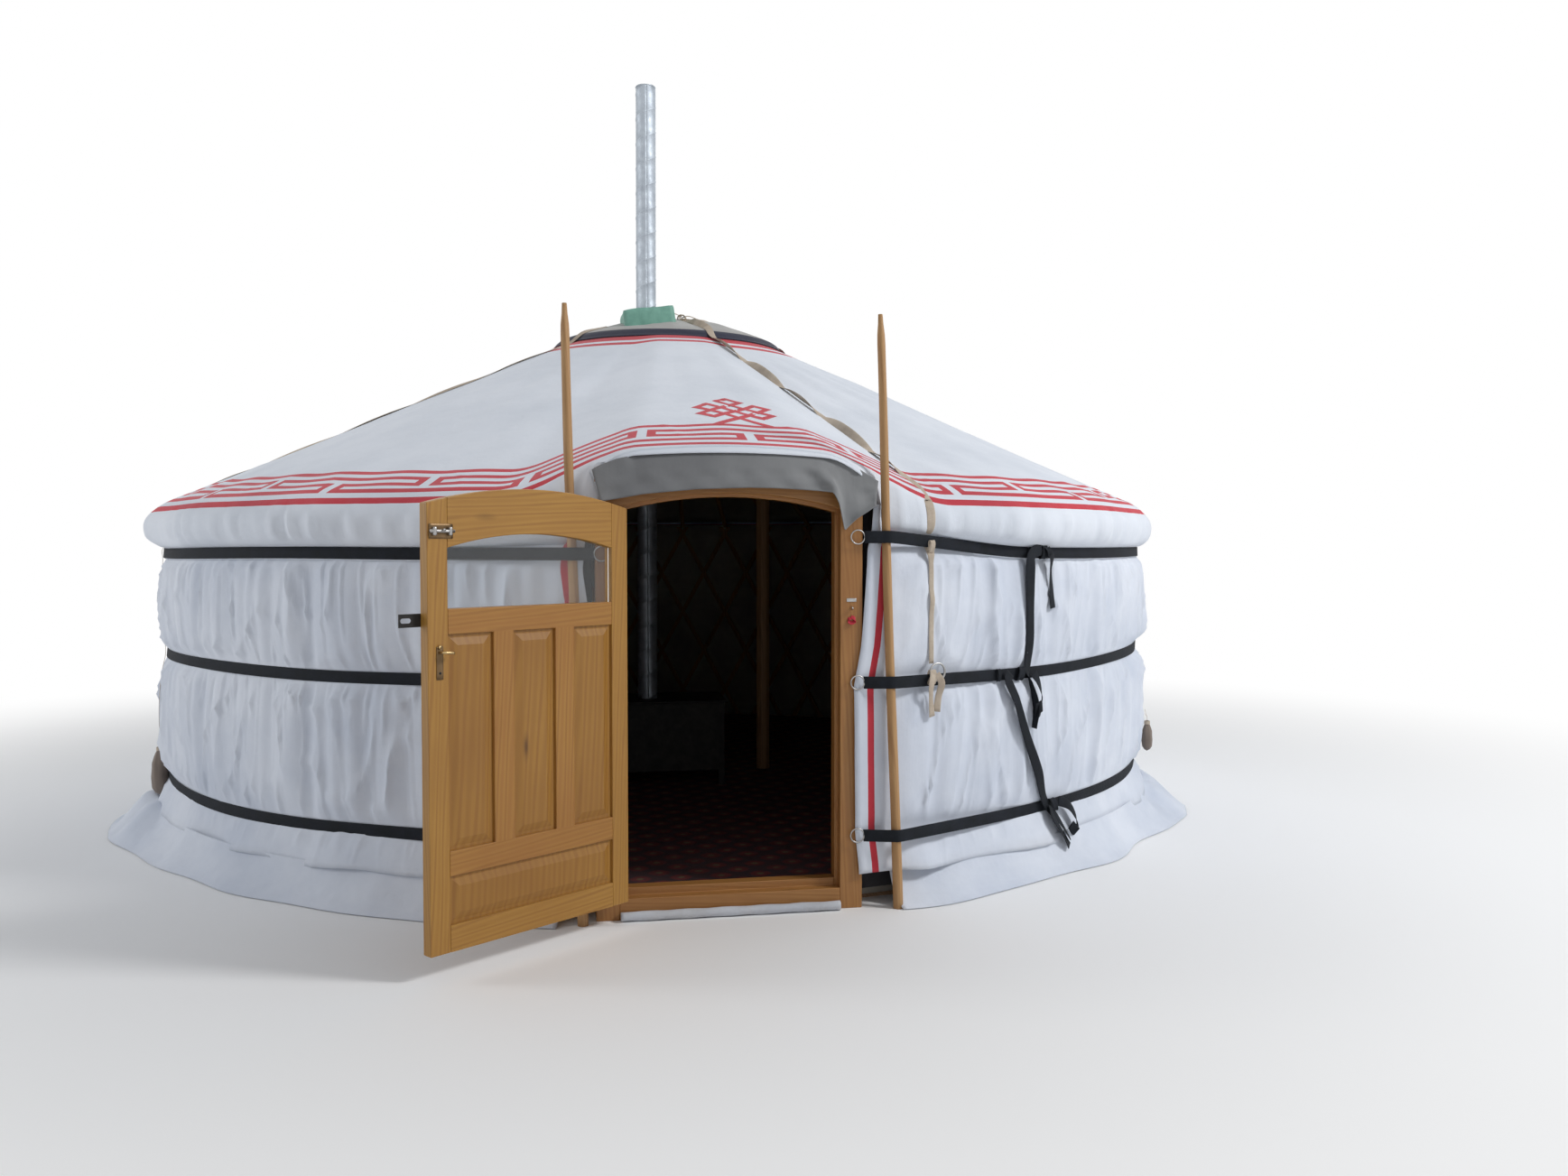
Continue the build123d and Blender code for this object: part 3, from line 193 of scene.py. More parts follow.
class Nodes:
    """Short calls for the node tree of one material."""

    def __init__(self, material):
        self.tree = material.node_tree
        self.shader = self.tree.nodes["Principled BSDF"]
        self.coordinates = self.tree.nodes.new("ShaderNodeTexCoord").outputs["Object"]

    def link(self, source, target):
        self.tree.links.new(source, target)

    def mapped(self, scale=(1, 1, 1), turn=(0, 0, 0), source=None):
        node = self.tree.nodes.new("ShaderNodeMapping")
        node.inputs["Scale"].default_value = scale
        node.inputs["Rotation"].default_value = turn
        self.link(source or self.coordinates, node.inputs["Vector"])
        return node.outputs["Vector"]

    def noise(self, scale, detail=3.0, roughness=0.5, distortion=0.0, source=None):
        node = self.tree.nodes.new("ShaderNodeTexNoise")
        node.inputs["Scale"].default_value = scale
        node.inputs["Detail"].default_value = detail
        node.inputs["Roughness"].default_value = roughness
        node.inputs["Distortion"].default_value = distortion
        self.link(source or self.coordinates, node.inputs["Vector"])
        return node.outputs["Fac"]

    def voronoi(self, scale, source=None):
        node = self.tree.nodes.new("ShaderNodeTexVoronoi")
        node.inputs["Scale"].default_value = scale
        self.link(source or self.coordinates, node.inputs["Vector"])
        return node.outputs["Distance"]

    def wave(self, scale, distortion, detail, direction, source=None):
        node = self.tree.nodes.new("ShaderNodeTexWave")
        node.bands_direction = direction
        node.inputs["Scale"].default_value = scale
        node.inputs["Distortion"].default_value = distortion
        node.inputs["Detail"].default_value = detail
        self.link(source or self.coordinates, node.inputs["Vector"])
        return node.outputs["Fac"]

    def ramp(self, factor, stops):
        node = self.tree.nodes.new("ShaderNodeValToRGB")
        band = node.color_ramp
        while len(band.elements) < len(stops):
            band.elements.new(0.5)
        for element, (position, colour) in zip(band.elements, stops):
            element.position = position
            element.color = (*colour, 1)
        self.link(factor, node.inputs["Fac"])
        return node.outputs["Color"]

    def mask(self, factor, low, high, strength):
        """Share for mixing: nothing up to low, and a strength from high on."""
        return self.ramp(factor, ((low, (0, 0, 0)), (high, (strength,) * 3)))

    def mix(self, factor, first, second):
        node = self.tree.nodes.new("ShaderNodeMix")
        node.data_type = "RGBA"
        for source, socket in ((factor, 0), (first, 6), (second, 7)):
            if isinstance(source, (int, float)):
                node.inputs[socket].default_value = source
            elif isinstance(source, tuple):
                node.inputs[socket].default_value = (*source, 1)
            else:
                self.link(source, node.inputs[socket])
        return node.outputs[2]

    def maths(self, kind, first, second=0.0):
        node = self.tree.nodes.new("ShaderNodeMath")
        node.operation = kind
        for socket, source in enumerate((first, second)):
            if isinstance(source, (int, float)):
                node.inputs[socket].default_value = source
            else:
                self.link(source, node.inputs[socket])
        return node.outputs["Value"]

    def height(self):
        node = self.tree.nodes.new("ShaderNodeSeparateXYZ")
        self.link(self.coordinates, node.inputs["Vector"])
        return node.outputs["Z"]

    def bump(self, layers):
        """layers are (height, strength, distance in metres)."""
        normal = None
        for height, strength, distance in layers:
            node = self.tree.nodes.new("ShaderNodeBump")
            node.inputs["Strength"].default_value = strength
            node.inputs["Distance"].default_value = distance
            self.link(height, node.inputs["Height"])
            if normal is not None:
                self.link(normal, node.inputs["Normal"])
            normal = node.outputs["Normal"]
        self.link(normal, self.shader.inputs["Normal"])

    def colour(self, source):
        self.link(source, self.shader.inputs["Base Color"])

    def roughness(self, factor, low, high):
        node = self.tree.nodes.new("ShaderNodeMapRange")
        node.inputs["To Min"].default_value = low
        node.inputs["To Max"].default_value = high
        self.link(factor, node.inputs["Value"])
        self.link(node.outputs["Result"], self.shader.inputs["Roughness"])


NO_TURN = (0, 0, 0)
GRIME = (0.30, 0.27, 0.22)
WEAVE_SCALE = 900.0
RIB_SCALE = 420.0


def canvas_material(name, light, dark, grime_height=None):
    """Woven canvas with soft stains, small creases and, low down, splashed dirt."""
    material = new_material(name, light, 0.85)
    n = Nodes(material)
    stains = n.noise(1.7, 5.0, 0.6)
    colour = n.ramp(stains, ((0.32, dark), (0.62, light)))
    smears = n.noise(1.0, 6.0, 0.65, 0.4, n.mapped((2.2, 2.2, 0.5)))
    colour = n.mix(n.mask(smears, 0.52, 0.78, 0.35), colour, dark)
    specks = n.noise(210.0, 2.0)
    colour = n.mix(n.mask(specks, 0.70, 0.80, 0.22), colour, GRIME)
    if grime_height is not None:
        below = n.maths("SUBTRACT", grime_height, n.height())
        level = n.maths("MULTIPLY", below, 1.0 / grime_height)
        patchy = n.maths("MULTIPLY", n.maths("MAXIMUM", level, 0.0), n.noise(5.0, 6.0, 0.7))
        colour = n.mix(n.mask(patchy, 0.05, 0.75, 0.62), colour, GRIME)
    n.colour(colour)
    crumple = n.noise(9.0, 4.0, 0.55, 0.6)
    puckers = n.noise(1.0, 3.0, 0.5, 0.3, n.mapped((38, 38, 5)))
    threads = n.noise(WEAVE_SCALE, 1.0)
    n.bump(((crumple, 0.25, 0.010), (puckers, 0.30, 0.004), (threads, 0.35, 0.0006)))
    n.roughness(stains, 0.78, 0.92)
    n.shader.inputs["Sheen Weight"].default_value = 0.15
    return material


def webbing_material(name, light, dark):
    """Flat woven tape with fine ribs across it and worn lighter patches."""
    material = new_material(name, light, 0.75)
    n = Nodes(material)
    wear = n.noise(11.0, 6.0, 0.7)
    n.colour(n.ramp(wear, ((0.35, dark), (0.68, light))))
    threads = n.noise(RIB_SCALE, 1.0)
    ribs = n.wave(RIB_SCALE * 0.45, 0.4, 1.0, "Z")
    n.bump(((ribs, 0.4, 0.0008), (threads, 0.4, 0.0008)))
    n.roughness(wear, 0.70, 0.90)
    n.shader.inputs["Specular IOR Level"].default_value = 0.22
    return material


def along_grain(axis, long, short):
    """Scales for a pattern that is drawn out along one axis."""
    return tuple(long if letter == axis else short for letter in "XYZ")


def wood_material(name, tones, grain, turn=0.0, gloss=0.35, fine=1.0, upright=None):
    """Planed softwood: growth lines along the grain's axis, darker late wood and a few knots.

    tones are the light, the dark and the late wood. Between the two heights in upright the
    growth lines stand up.
    """
    light, dark, late = tones
    material = new_material(name, light, gloss)
    n = Nodes(material)
    turned = n.mapped((1, 1, 1), (0, 0, math.radians(turn)))
    along = n.mapped(along_grain(grain, 0.9 * fine, 16 * fine), NO_TURN, turned)
    if upright:
        from_middle = n.maths("ABSOLUTE", n.maths("SUBTRACT", n.height(), sum(upright) / 2))
        standing = n.maths("LESS_THAN", from_middle, (upright[1] - upright[0]) / 2)
        along = n.mix(standing, along, n.mapped(along_grain("Z", 0.9 * fine, 16 * fine), NO_TURN, turned))
    warp = n.noise(0.55, 3.0, 0.5, 0.0, along)
    rings = n.wave(1.1, 3.5, 2.0, "DIAGONAL", along)
    lines = n.ramp(rings, ((0.05, dark), (0.45, light), (0.80, light), (1.0, late)))
    lines = n.mix(0.45, light, lines)
    tone = n.noise(2.3, 3.0, 0.5, 0.0, turned)
    colour = n.mix(n.mask(tone, 0.38, 0.72, 0.60), lines, dark)
    streaks = n.noise(6.0, 4.0, 0.7, 0.0, along)
    colour = n.mix(n.mask(streaks, 0.56, 0.82, 0.34), colour, late)
    spots = n.voronoi(1.0, n.mapped(along_grain(grain, 1.7, 6), NO_TURN, turned))
    knot = n.ramp(spots, ((0.020, (0.8,) * 3), (0.060, (0.30,) * 3), (0.11, (0, 0, 0))))
    colour = n.mix(knot, colour, tuple(value * 0.38 for value in late))
    n.colour(colour)
    pores = n.noise(40.0, 3.0, 0.6, 0.0, along)
    n.bump(((rings, 0.10, 0.0012), (pores, 0.20, 0.0008), (warp, 0.10, 0.003)))
    n.roughness(streaks, gloss * 0.85, min(1.0, gloss * 1.5))
    return material


def metal_material(name, light, dark, roughness, metallic=1.0, spangle=None):
    """Worn metal in two tones, with the crystals of zinc where a spangle scale is given."""
    material = new_material(name, light, roughness, metallic)
    n = Nodes(material)
    tone = n.noise(14.0, 6.0, 0.65)
    colour = n.ramp(tone, ((0.35, dark), (0.65, light)))
    if spangle:
        cells = n.voronoi(spangle)
        colour = n.mix(n.mask(cells, 0.2, 0.8, 0.35), colour, dark)
    n.colour(colour)
    n.roughness(n.noise(45.0, 4.0, 0.6), roughness * 0.8, min(1.0, roughness * 1.4))
    n.bump(((n.noise(160.0, 3.0), 0.12, 0.0008),))
    return material


# The light and dark tones of the white canvas carry a blue tint that is painted skylight, not a colour of the
# cloth.
SKY_TINTED_WHITE = (0.75, 0.79, 0.87)
SKY_TINTED_WHITE_DARK = (0.60, 0.65, 0.75)
white_canvas = canvas_material("white_canvas", SKY_TINTED_WHITE, SKY_TINTED_WHITE_DARK, grime_height=0.20)
clean_canvas = canvas_material("clean_canvas", SKY_TINTED_WHITE, SKY_TINTED_WHITE_DARK)
# The roof canvas is its own white, made lighter and bluer than the wall canvas with painted skylight, because
# the roof faces the sky.
roof_white_painted_skylight = canvas_material("roof_white_painted_skylight", (0.80, 0.84, 0.91), (0.70, 0.745, 0.82))
red_cloth = canvas_material("red_cloth", (0.60, 0.035, 0.055), (0.47, 0.025, 0.045))
navy_cloth = canvas_material("navy_cloth", (0.018, 0.021, 0.045), (0.011, 0.013, 0.030))
crown_cloth = canvas_material("crown_cloth", (0.46, 0.455, 0.44), (0.32, 0.305, 0.285))
hood_cloth = canvas_material("hood_cloth", (0.235, 0.240, 0.245), (0.165, 0.168, 0.175))
sack_cloth = canvas_material("sack_cloth", (0.22, 0.175, 0.145), (0.14, 0.110, 0.090))
lining_cloth = canvas_material("lining_cloth", (0.40, 0.375, 0.33), (0.29, 0.27, 0.235))
felt_cloth = canvas_material("felt_cloth", (0.035, 0.035, 0.042), (0.018, 0.018, 0.022))
dark_webbing = webbing_material("dark_webbing", (0.015, 0.018, 0.025), (0.006, 0.008, 0.011))
beige_webbing = webbing_material("beige_webbing", (0.62, 0.53, 0.43), (0.45, 0.37, 0.29))

# Light, dark and late wood
LATE = (0.22, 0.080, 0.014)
PINE = ((0.42, 0.215, 0.040), (0.33, 0.152, 0.026), LATE)
REDDISH_PINE = ((0.41, 0.200, 0.040), (0.32, 0.130, 0.026), LATE)
PANEL_PINE = ((0.37, 0.180, 0.030), (0.27, 0.115, 0.018), LATE)
JAMB_PINE = ((0.38, 0.180, 0.052), (0.29, 0.120, 0.032), LATE)
POLE_WOOD = ((0.47, 0.275, 0.120), (0.37, 0.200, 0.080), (0.27, 0.125, 0.045))
LATTICE_WOOD = ((0.36, 0.19, 0.08), (0.26, 0.12, 0.05), (0.17, 0.07, 0.03))
FLOOR_WOOD = ((0.36, 0.22, 0.12), (0.27, 0.15, 0.08), (0.18, 0.09, 0.04))
# Heights between which the inner rails of the leaf are the upright bars between its panels
UPRIGHT_BARS = (0.435, 1.173)
frame_wood_up = wood_material("frame_wood_up", JAMB_PINE, "Z")
frame_wood_across = wood_material("frame_wood_across", JAMB_PINE, "X")
leaf_wood_up = wood_material("leaf_wood_up", PINE, "Z", DOOR_OPEN_ANGLE)
leaf_wood_across = wood_material("leaf_wood_across", PINE, "X", DOOR_OPEN_ANGLE)
leaf_wood_inner = wood_material("leaf_wood_inner", REDDISH_PINE, "X", DOOR_OPEN_ANGLE, upright=UPRIGHT_BARS)
panel_wood = wood_material("panel_wood", PANEL_PINE, "Z", DOOR_OPEN_ANGLE, fine=0.7)
pole_wood = wood_material("pole_wood", POLE_WOOD, "Z", gloss=0.55)
lattice_wood = wood_material("lattice_wood", LATTICE_WOOD, "Z", gloss=0.65)
floor_wood = wood_material("floor_wood", FLOOR_WOOD, "Y", gloss=0.6)
brass = metal_material("brass", (0.55, 0.41, 0.21), (0.38, 0.27, 0.13), 0.32)
bronze = metal_material("bronze", (0.20, 0.13, 0.07), (0.10, 0.065, 0.035), 0.38)
steel = metal_material("steel", (0.50, 0.50, 0.50), (0.30, 0.29, 0.28), 0.35)
zinc = metal_material("zinc", (0.50, 0.55, 0.60), (0.37, 0.41, 0.46), 0.50, 0.65, spangle=34.0)
iron = metal_material("iron", (0.035, 0.033, 0.032), (0.016, 0.015, 0.015), 0.6, 0.5)
green_sheet = metal_material("green_sheet", (0.22, 0.46, 0.37), (0.15, 0.34, 0.27), 0.5, 0.0)


def glass_material():
    """Clear window glass, a little uneven."""
    material = new_material("window_glass", (0.9, 0.93, 0.95), 0.04)
    n = Nodes(material)
    n.shader.inputs["Transmission Weight"].default_value = 1.0
    n.shader.inputs["IOR"].default_value = 1.45
    n.roughness(n.noise(6.0, 4.0), 0.02, 0.10)
    return material


glass = glass_material()


def rug_material():
    """Dark red knotted carpet with small lozenges in a lattice of borders, and a fine pile."""
    material = new_material("rug_pile", (0.14, 0.02, 0.02), 0.95)
    n = Nodes(material)
    slants = [n.mapped((1, 1, 1), (0, 0, math.radians(turn))) for turn in (45, -45)]
    lozenges = n.maths("MULTIPLY", *(n.wave(2.6, 0.25, 1.0, "X", slant) for slant in slants))
    field = n.ramp(lozenges, ((0.10, (0.035, 0.012, 0.016)), (0.30, (0.13, 0.018, 0.020)),
                              (0.78, (0.16, 0.025, 0.022)), (0.92, (0.17, 0.11, 0.06))))
    tiny = n.ramp(n.voronoi(26.0), ((0.10, (0.55,) * 3), (0.34, (0, 0, 0))))
    colour = n.mix(tiny, field, (0.025, 0.02, 0.045))
    worn = n.mask(n.noise(2.4, 6.0, 0.65), 0.42, 0.78, 0.55)
    n.colour(n.mix(worn, colour, (0.045, 0.022, 0.020)))
    n.bump(((n.noise(420.0, 2.0), 0.6, 0.003),))
    return material


rug_pile = rug_material()


def dress(node, material, bevel=0.0):
    """Gives a solid its material, and rounds its sharp edges a little."""
    piece = nodes[node]
    piece.data.materials.clear()
    piece.data.materials.append(material)
    if bevel:
        weld = piece.modifiers.new("weld", "WELD")
        weld.merge_threshold = 0.00005
        edge = piece.modifiers.new("edge", "BEVEL")
        edge.width = bevel
        edge.segments = 2
        edge.limit_method = "ANGLE"
        edge.angle_limit = math.radians(35)
        edge.harden_normals = True


# Roof canvas
# Ornament: half width and levels of its five lines, as distances down the cloth from the crown edge
LINE_HALF = 0.017
LINE_LEVELS = (2.170, 2.240, 2.308, 2.376, 2.444)
# Ornament: repeats round the tent and, in degrees, half of one, the first gap, half a gap, a block
PERIODS = 19
HALF_PERIOD = 180.0 / PERIODS
LOWER_GAP = 2.1
GAP_HALF = 0.44
BLOCK = 0.80
# Red trims under the crown, as distances down the cloth
CROWN_TRIMS = ((0.080, 0.172), (0.212, 0.262))
# How far the ornament is pulled up over the door, and how much the cloth arches there
DOOR_PULL = 0.130
DOOR_ARCH = 0.024
# Height of the top band, which the hem of the roof canvas follows
BAND_LEVEL = 1.441
# Distance down the cloth at which it turns over the eave, and the way off the slope, up and out
EAVE_TURN = 2.33
SLOPE_UP, SLOPE_OUT = 0.91, 0.41
# Door head: half its width, the height that the cloth clears, and how far out the cloth hangs
HEAD_HALF = 0.545
HEAD_TOP = 1.797
HEAD_FRONT = 2.8235
# Distances before the tent's middle between which the cloth lies on the head
HEAD_ZONE, HEAD_EDGE = 2.60, 2.800


def arc_profile(points):
    """Radius and height against distance along a profile."""
    points = np.array(points)
    steps = np.linalg.norm(np.diff(points, axis=0), axis=1)
    return np.concatenate([[0.0], np.cumsum(steps)]), points[:, 0], points[:, 1]


def plain_profile():
    slope = (CROWN_EDGE_HEIGHT - ROOF_BREAK_HEIGHT) / (ROOF_BREAK_RADIUS - CROWN_EDGE_RADIUS)
    out = EAVE_RADIUS - ROOF_BREAK_RADIUS
    down = ROOF_BREAK_HEIGHT - EAVE_HEIGHT
    first_sine = slope * out / (down - slope * out)
    centre_reach = out / (1 - first_sine)
    centre_rise = down / math.sqrt(1 - first_sine**2)
    first = math.asin(first_sine)
    points = [(CROWN_EDGE_RADIUS, CROWN_EDGE_HEIGHT)]
    for step in range(25):
        turn = first + (math.pi / 2 - first) * step / 24
        radius = EAVE_RADIUS - centre_reach * (1 - math.sin(turn))
        points.append((radius, EAVE_HEIGHT + centre_rise * math.cos(turn)))
    for step in range(1, 13):
        turn = math.pi / 2 * step / 12
        points.append((EAVE_RADIUS - 0.070 * (1 - math.cos(turn)), EAVE_HEIGHT - 0.105 * math.sin(turn)))
    points.append((2.794, 1.412))
    return arc_profile(points)


def raised_profile():
    break_height = ROOF_BREAK_HEIGHT + DOOR_LIFT
    slope = (CROWN_EDGE_HEIGHT - break_height) / (ROOF_BREAK_RADIUS - CROWN_EDGE_RADIUS)
    edge = 2.868
    points = [(CROWN_EDGE_RADIUS, CROWN_EDGE_HEIGHT)]
    points.append((edge, CROWN_EDGE_HEIGHT - slope * (edge - CROWN_EDGE_RADIUS)))
    points.append((2.872, 1.815))
    points.append((2.873, 1.810))
    return arc_profile(points)


plain_line, raised_line = plain_profile(), raised_profile()


def roof_rows():
    """Distances down the cloth for the plain roof and for the raised roof, row by row."""
    plain = [0.0, 0.05] + [edge for trim in CROWN_TRIMS for edge in trim]
    plain += list(np.linspace(plain[-1], LINE_LEVELS[0] - LINE_HALF, 26)[1:])
    for level in LINE_LEVELS:
        for edge in (level - LINE_HALF, level + LINE_HALF):
            if edge > plain[-1] + 1e-6:
                plain.append(edge)
    last_pattern = plain[-1]
    plain += list(np.linspace(last_pattern, plain_line[0][-1], 19)[1:])
    plain = np.array(plain)
    pull = np.where(plain <= last_pattern, DOOR_PULL * smooth(plain / 1.6), 0.0)
    raised = plain - pull
    tail = plain > last_pattern
    share = (plain[tail] - last_pattern) / (plain[-1] - last_pattern)
    start = last_pattern - DOOR_PULL
    raised[tail] = start + (raised_line[0][-1] - start) * share
    return plain, raised


def roof_columns():
    """Azimuths of the columns, so that gaps and blocks of the ornament end on a column."""
    half = [0.0, GAP_HALF, GAP_HALF + BLOCK]
    half += list(np.linspace(GAP_HALF + BLOCK, HALF_PERIOD - GAP_HALF - BLOCK, 12)[1:])
    half += [HALF_PERIOD - GAP_HALF]
    starts = [LOWER_GAP + index * HALF_PERIOD for index in range(2 * PERIODS)]
    return np.array([start + value for start in starts for value in half])


roof_plain_rows, roof_raised_rows = roof_rows()
roof_azimuths = roof_columns()


def roof_surface(azimuth, plain, raised, lift=0.0):
    """Points of the roof canvas at azimuths and distances down the cloth, stood off by lift."""
    signed = (azimuth + 180.0) % 360.0 - 180.0
    beyond = smooth((np.abs(signed) - np.where(signed > 0, 11.8, 9.6)) / 1.4)
    share = lift_share(azimuth) * (1 - beyond * smooth((plain - 2.47) / 0.12))
    plain_radius = np.interp(plain, plain_line[0], plain_line[1])
    raised_radius = np.interp(raised, raised_line[0], raised_line[1])
    radius = (1 - share) * plain_radius + share * raised_radius
    follow = smooth((plain - 2.50) / 0.20)
    plain_height = np.interp(plain, plain_line[0], plain_line[2])
    plain_height = plain_height + (band_height(0, signed) - BAND_LEVEL) * follow
    raised_height = np.interp(raised, raised_line[0], raised_line[2])
    height = (1 - share) * plain_height + share * raised_height
    arch = 1 - np.clip(np.abs(signed) / 10.0, 0, 1) ** 2
    height = height + DOOR_ARCH * arch * smooth((plain - 1.3) / 0.9)
    on_slope = smooth((plain - 0.30) / 0.5) * (1 - smooth((plain - 2.25) / 0.25))
    at_band = smooth((plain - 2.58) / 0.09)
    at_eave = smooth((plain - 2.30) / 0.2) * (1 - share) * (1 - at_band)
    sag = -0.005 * (0.5 - 0.5 * np.cos(np.radians(azimuth) * POLE_COUNT)) * on_slope
    sag = sag + 0.0030 * ripples(azimuth, plain, 11, (3, 16), 0.5) * on_slope
    sag = sag + 0.0020 * creases(azimuth, plain, 15, (3, 14), 0.9, 0.10) * on_slope
    hang = smooth((plain - 2.40) / 0.14)
    puckers = 0.0065 * ripples(azimuth, plain, 12, (70, 190), 0.4) * hang
    puckers = puckers + 0.0080 * creases(azimuth, plain, 13, (90, 240), 0.8, 0.28) * hang
    broad = 0.007 * ripples(azimuth, plain, 14, (6, 24), 0.3)
    stand = sag + (puckers + broad) * at_eave + lift
    upward = np.where(plain < EAVE_TURN, SLOPE_UP, 0.5 * (1 - at_eave))
    sideways = np.where(plain < EAVE_TURN, SLOPE_OUT, 1.0)
    points = place(radius + stand * sideways, azimuth, height + stand * upward)
    past = np.maximum(np.abs(points[..., 0]) - HEAD_HALF, 0.0)
    before = points[..., 1] < -HEAD_ZONE
    over = before & (points[..., 1] > -HEAD_EDGE)
    # The cloth is kept above the door head and in front of it
    clear = HEAD_TOP + lift - 6.0 * past
    points[..., 2] = np.where(over, np.maximum(points[..., 2], clear), points[..., 2])
    hangs = before & ~over & (points[..., 2] < 1.90)
    front = -HEAD_FRONT - lift + 2.5 * past
    points[..., 1] = np.where(hangs, np.minimum(points[..., 1], front), points[..., 1])
    return points


def pattern_slots(columns, rows):
    """0 for white cloth and 1 for red, face by face."""
    middle = (rows[:-1] + rows[1:]) / 2
    ends = np.append(columns, columns[0] + 360.0)
    centres = (ends[:-1] + ends[1:]) / 2
    steps = (centres - LOWER_GAP) / HALF_PERIOD
    nearest = np.round(steps)
    from_gap = np.abs(steps - nearest) * HALF_PERIOD
    lower = (nearest.astype(int) % 2) == 0
    in_gap = from_gap < GAP_HALF
    in_block = (from_gap > GAP_HALF) & (from_gap < GAP_HALF + BLOCK)
    slots = np.zeros((len(middle), len(centres)), np.int32)
    nowhere = np.zeros(len(centres), bool)
    cuts = (nowhere, in_gap & ~lower, in_gap, in_gap & lower, nowhere)
    for level, cut in zip(LINE_LEVELS, cuts):
        slots[np.ix_(np.abs(middle - level) < LINE_HALF, ~cut)] = 1
    for start, end in CROWN_TRIMS:
        slots[(middle > start) & (middle < end)] = 1
    for first, wanted in ((1, ~lower), (2, lower)):
        over, under = LINE_LEVELS[first] + LINE_HALF, LINE_LEVELS[first + 1] - LINE_HALF
        slots[np.ix_((middle > over) & (middle < under), in_block & wanted)] = 1
    return slots


def add_roof():
    """Roof canvas with its woven-in ornament, from the crown edge over the eave to its hem."""
    azimuth = roof_azimuths[None, :]
    points = roof_surface(azimuth, roof_plain_rows[:, None], roof_raised_rows[:, None])
    slots = pattern_slots(roof_azimuths, roof_plain_rows)
    roof = grid_piece("roof_canvas", points, [roof_white_painted_skylight, red_cloth], slots, closed=True,
                      thickness=CANVAS_THICK)
    finish_piece(roof, replaces=("roof_cover_front", "roof_cover_right",
                                           "roof_cover_back", "roof_cover_left"))


def strips_on_roof(name, segments, width, material):
    """Straight strips of cloth sewn on the roof.

    A segment is two points, of azimuth and distance, and a lift.
    """
    vertices, faces = [], []
    for start, end, lift in segments:
        start, end = np.array(start, float), np.array(end, float)
        radius = np.interp((start[1] + end[1]) / 2, plain_line[0], plain_line[1])
        scale = np.array([radius * math.pi / 180, 1.0])
        run = (end - start) * scale
        length = np.linalg.norm(run)
        run = run / length
        side = np.array([-run[1], run[0]]) / scale * width / 2
        reach = run / scale * width / 2
        count = max(2, int(length / 0.02))
        share = np.linspace(0, 1, count)[:, None]
        path = start - reach + (end - start + 2 * reach) * share
        turns, plain = np.moveaxis(np.stack([path + side, path, path - side], axis=1), -1, 0)
        points = roof_surface(turns, plain, raised_distance(plain), lift)
        base = len(vertices)
        vertices += list(points.reshape(-1, 3))
        for index in range(count - 1):
            for strip in range(2):
                first = base + index * 3 + strip
                faces.append((first, first + 3, first + 4, first + 1))
    return mesh_piece(name, vertices, faces, [material], shade_smooth=False)


def raised_distance(plain):
    """Distance down the raised cloth that goes with one down the plain cloth."""
    return np.interp(plain, roof_plain_rows, roof_raised_rows)


# Heights of the three bands: behind, at the rings beside the door, and at the knots on the right
BANDS = (BAND_LEVEL, 0.930, 0.296)
BAND_ENDS = {1: (1.508, 0.921, 0.300), -1: (1.441, 0.938, 0.308)}
RIGHT_KNOT = 31.0
KNOT_HEIGHTS = (1.444, 0.906, 0.282)


def band_height(number, azimuth):
    """Height of a band's middle at an azimuth from -180 to 180, with a slight sag between ties."""
    level = BANDS[number]
    knot = KNOT_HEIGHTS[number]
    right_ring, left_ring = BAND_ENDS[1][number], BAND_ENDS[-1][number]
    right = blend_value(right_ring, knot, smooth((azimuth - 10) / 21))
    behind = blend_value(knot, level, smooth((azimuth - RIGHT_KNOT) / 40))
    left = blend_value(left_ring, level, smooth((-azimuth - 10) / 50))
    height = np.where(azimuth > 0, np.where(azimuth < RIGHT_KNOT, right, behind), left)
    sway = 0.004 * np.sin(np.radians(azimuth) * 7 + number * 2.1)
    return height + sway * smooth((np.abs(azimuth) - 20) / 20)


add_roof()


def add_endless_knot():
    """Endless knot of red tape over the door: three strands each way, looped in pairs."""
    centre, level, across, up = 2.2, 1.913, 0.0775, 0.085
    corners = [(-3.0, -1), (2, -1), (2, 0), (-2, 0), (-2, 1), (2, 1), (2, 2), (1, 2), (1, -2),
               (0, -2), (0, 2), (-1, 2), (-1, -3.0)]
    turned = []
    for p, q in corners:
        u, v = (p - q) / math.sqrt(2) * across, (p + q) / math.sqrt(2) * up
        distance = level - v
        radius = np.interp(distance, plain_line[0], plain_line[1])
        turned.append((centre + math.degrees(u / radius), distance))
    segments = []
    for index, (start, end) in enumerate(zip(turned[:-1], turned[1:])):
        level_here = corners[index][1] == corners[index + 1][1]
        segments.append((start, end, 0.0028 if level_here else 0.0034))
    piece = strips_on_roof("endless_knot", segments, 0.033, red_cloth)
    finish_piece(piece)


add_endless_knot()


# Wall canvas
WALL_HEM = 0.140
TANGENT = 27.0
FLAP_RADIUS = 2.866
FLAP_FRONT = 2.826
CANVAS_RADIUS = 2.83
WALL_COLUMNS = 960
# Azimuth from which the canvas is tucked under the eave
TUCK_FROM = 12.4
# Edges of the flap's columns, from its free edge on, in metres; the stripe is the third column
FLAP_COLUMNS = (0.0, 0.028, 0.057, 0.086, 0.105)
STRIPE_COLUMN = 2
# Heights up the wall with even rows between them, and the rows from one to the next, ends counted
ROW_STEPS = ((0.34, 11), (0.84, 12), (1.02, 9), (1.37, 9), (1.50, 8))
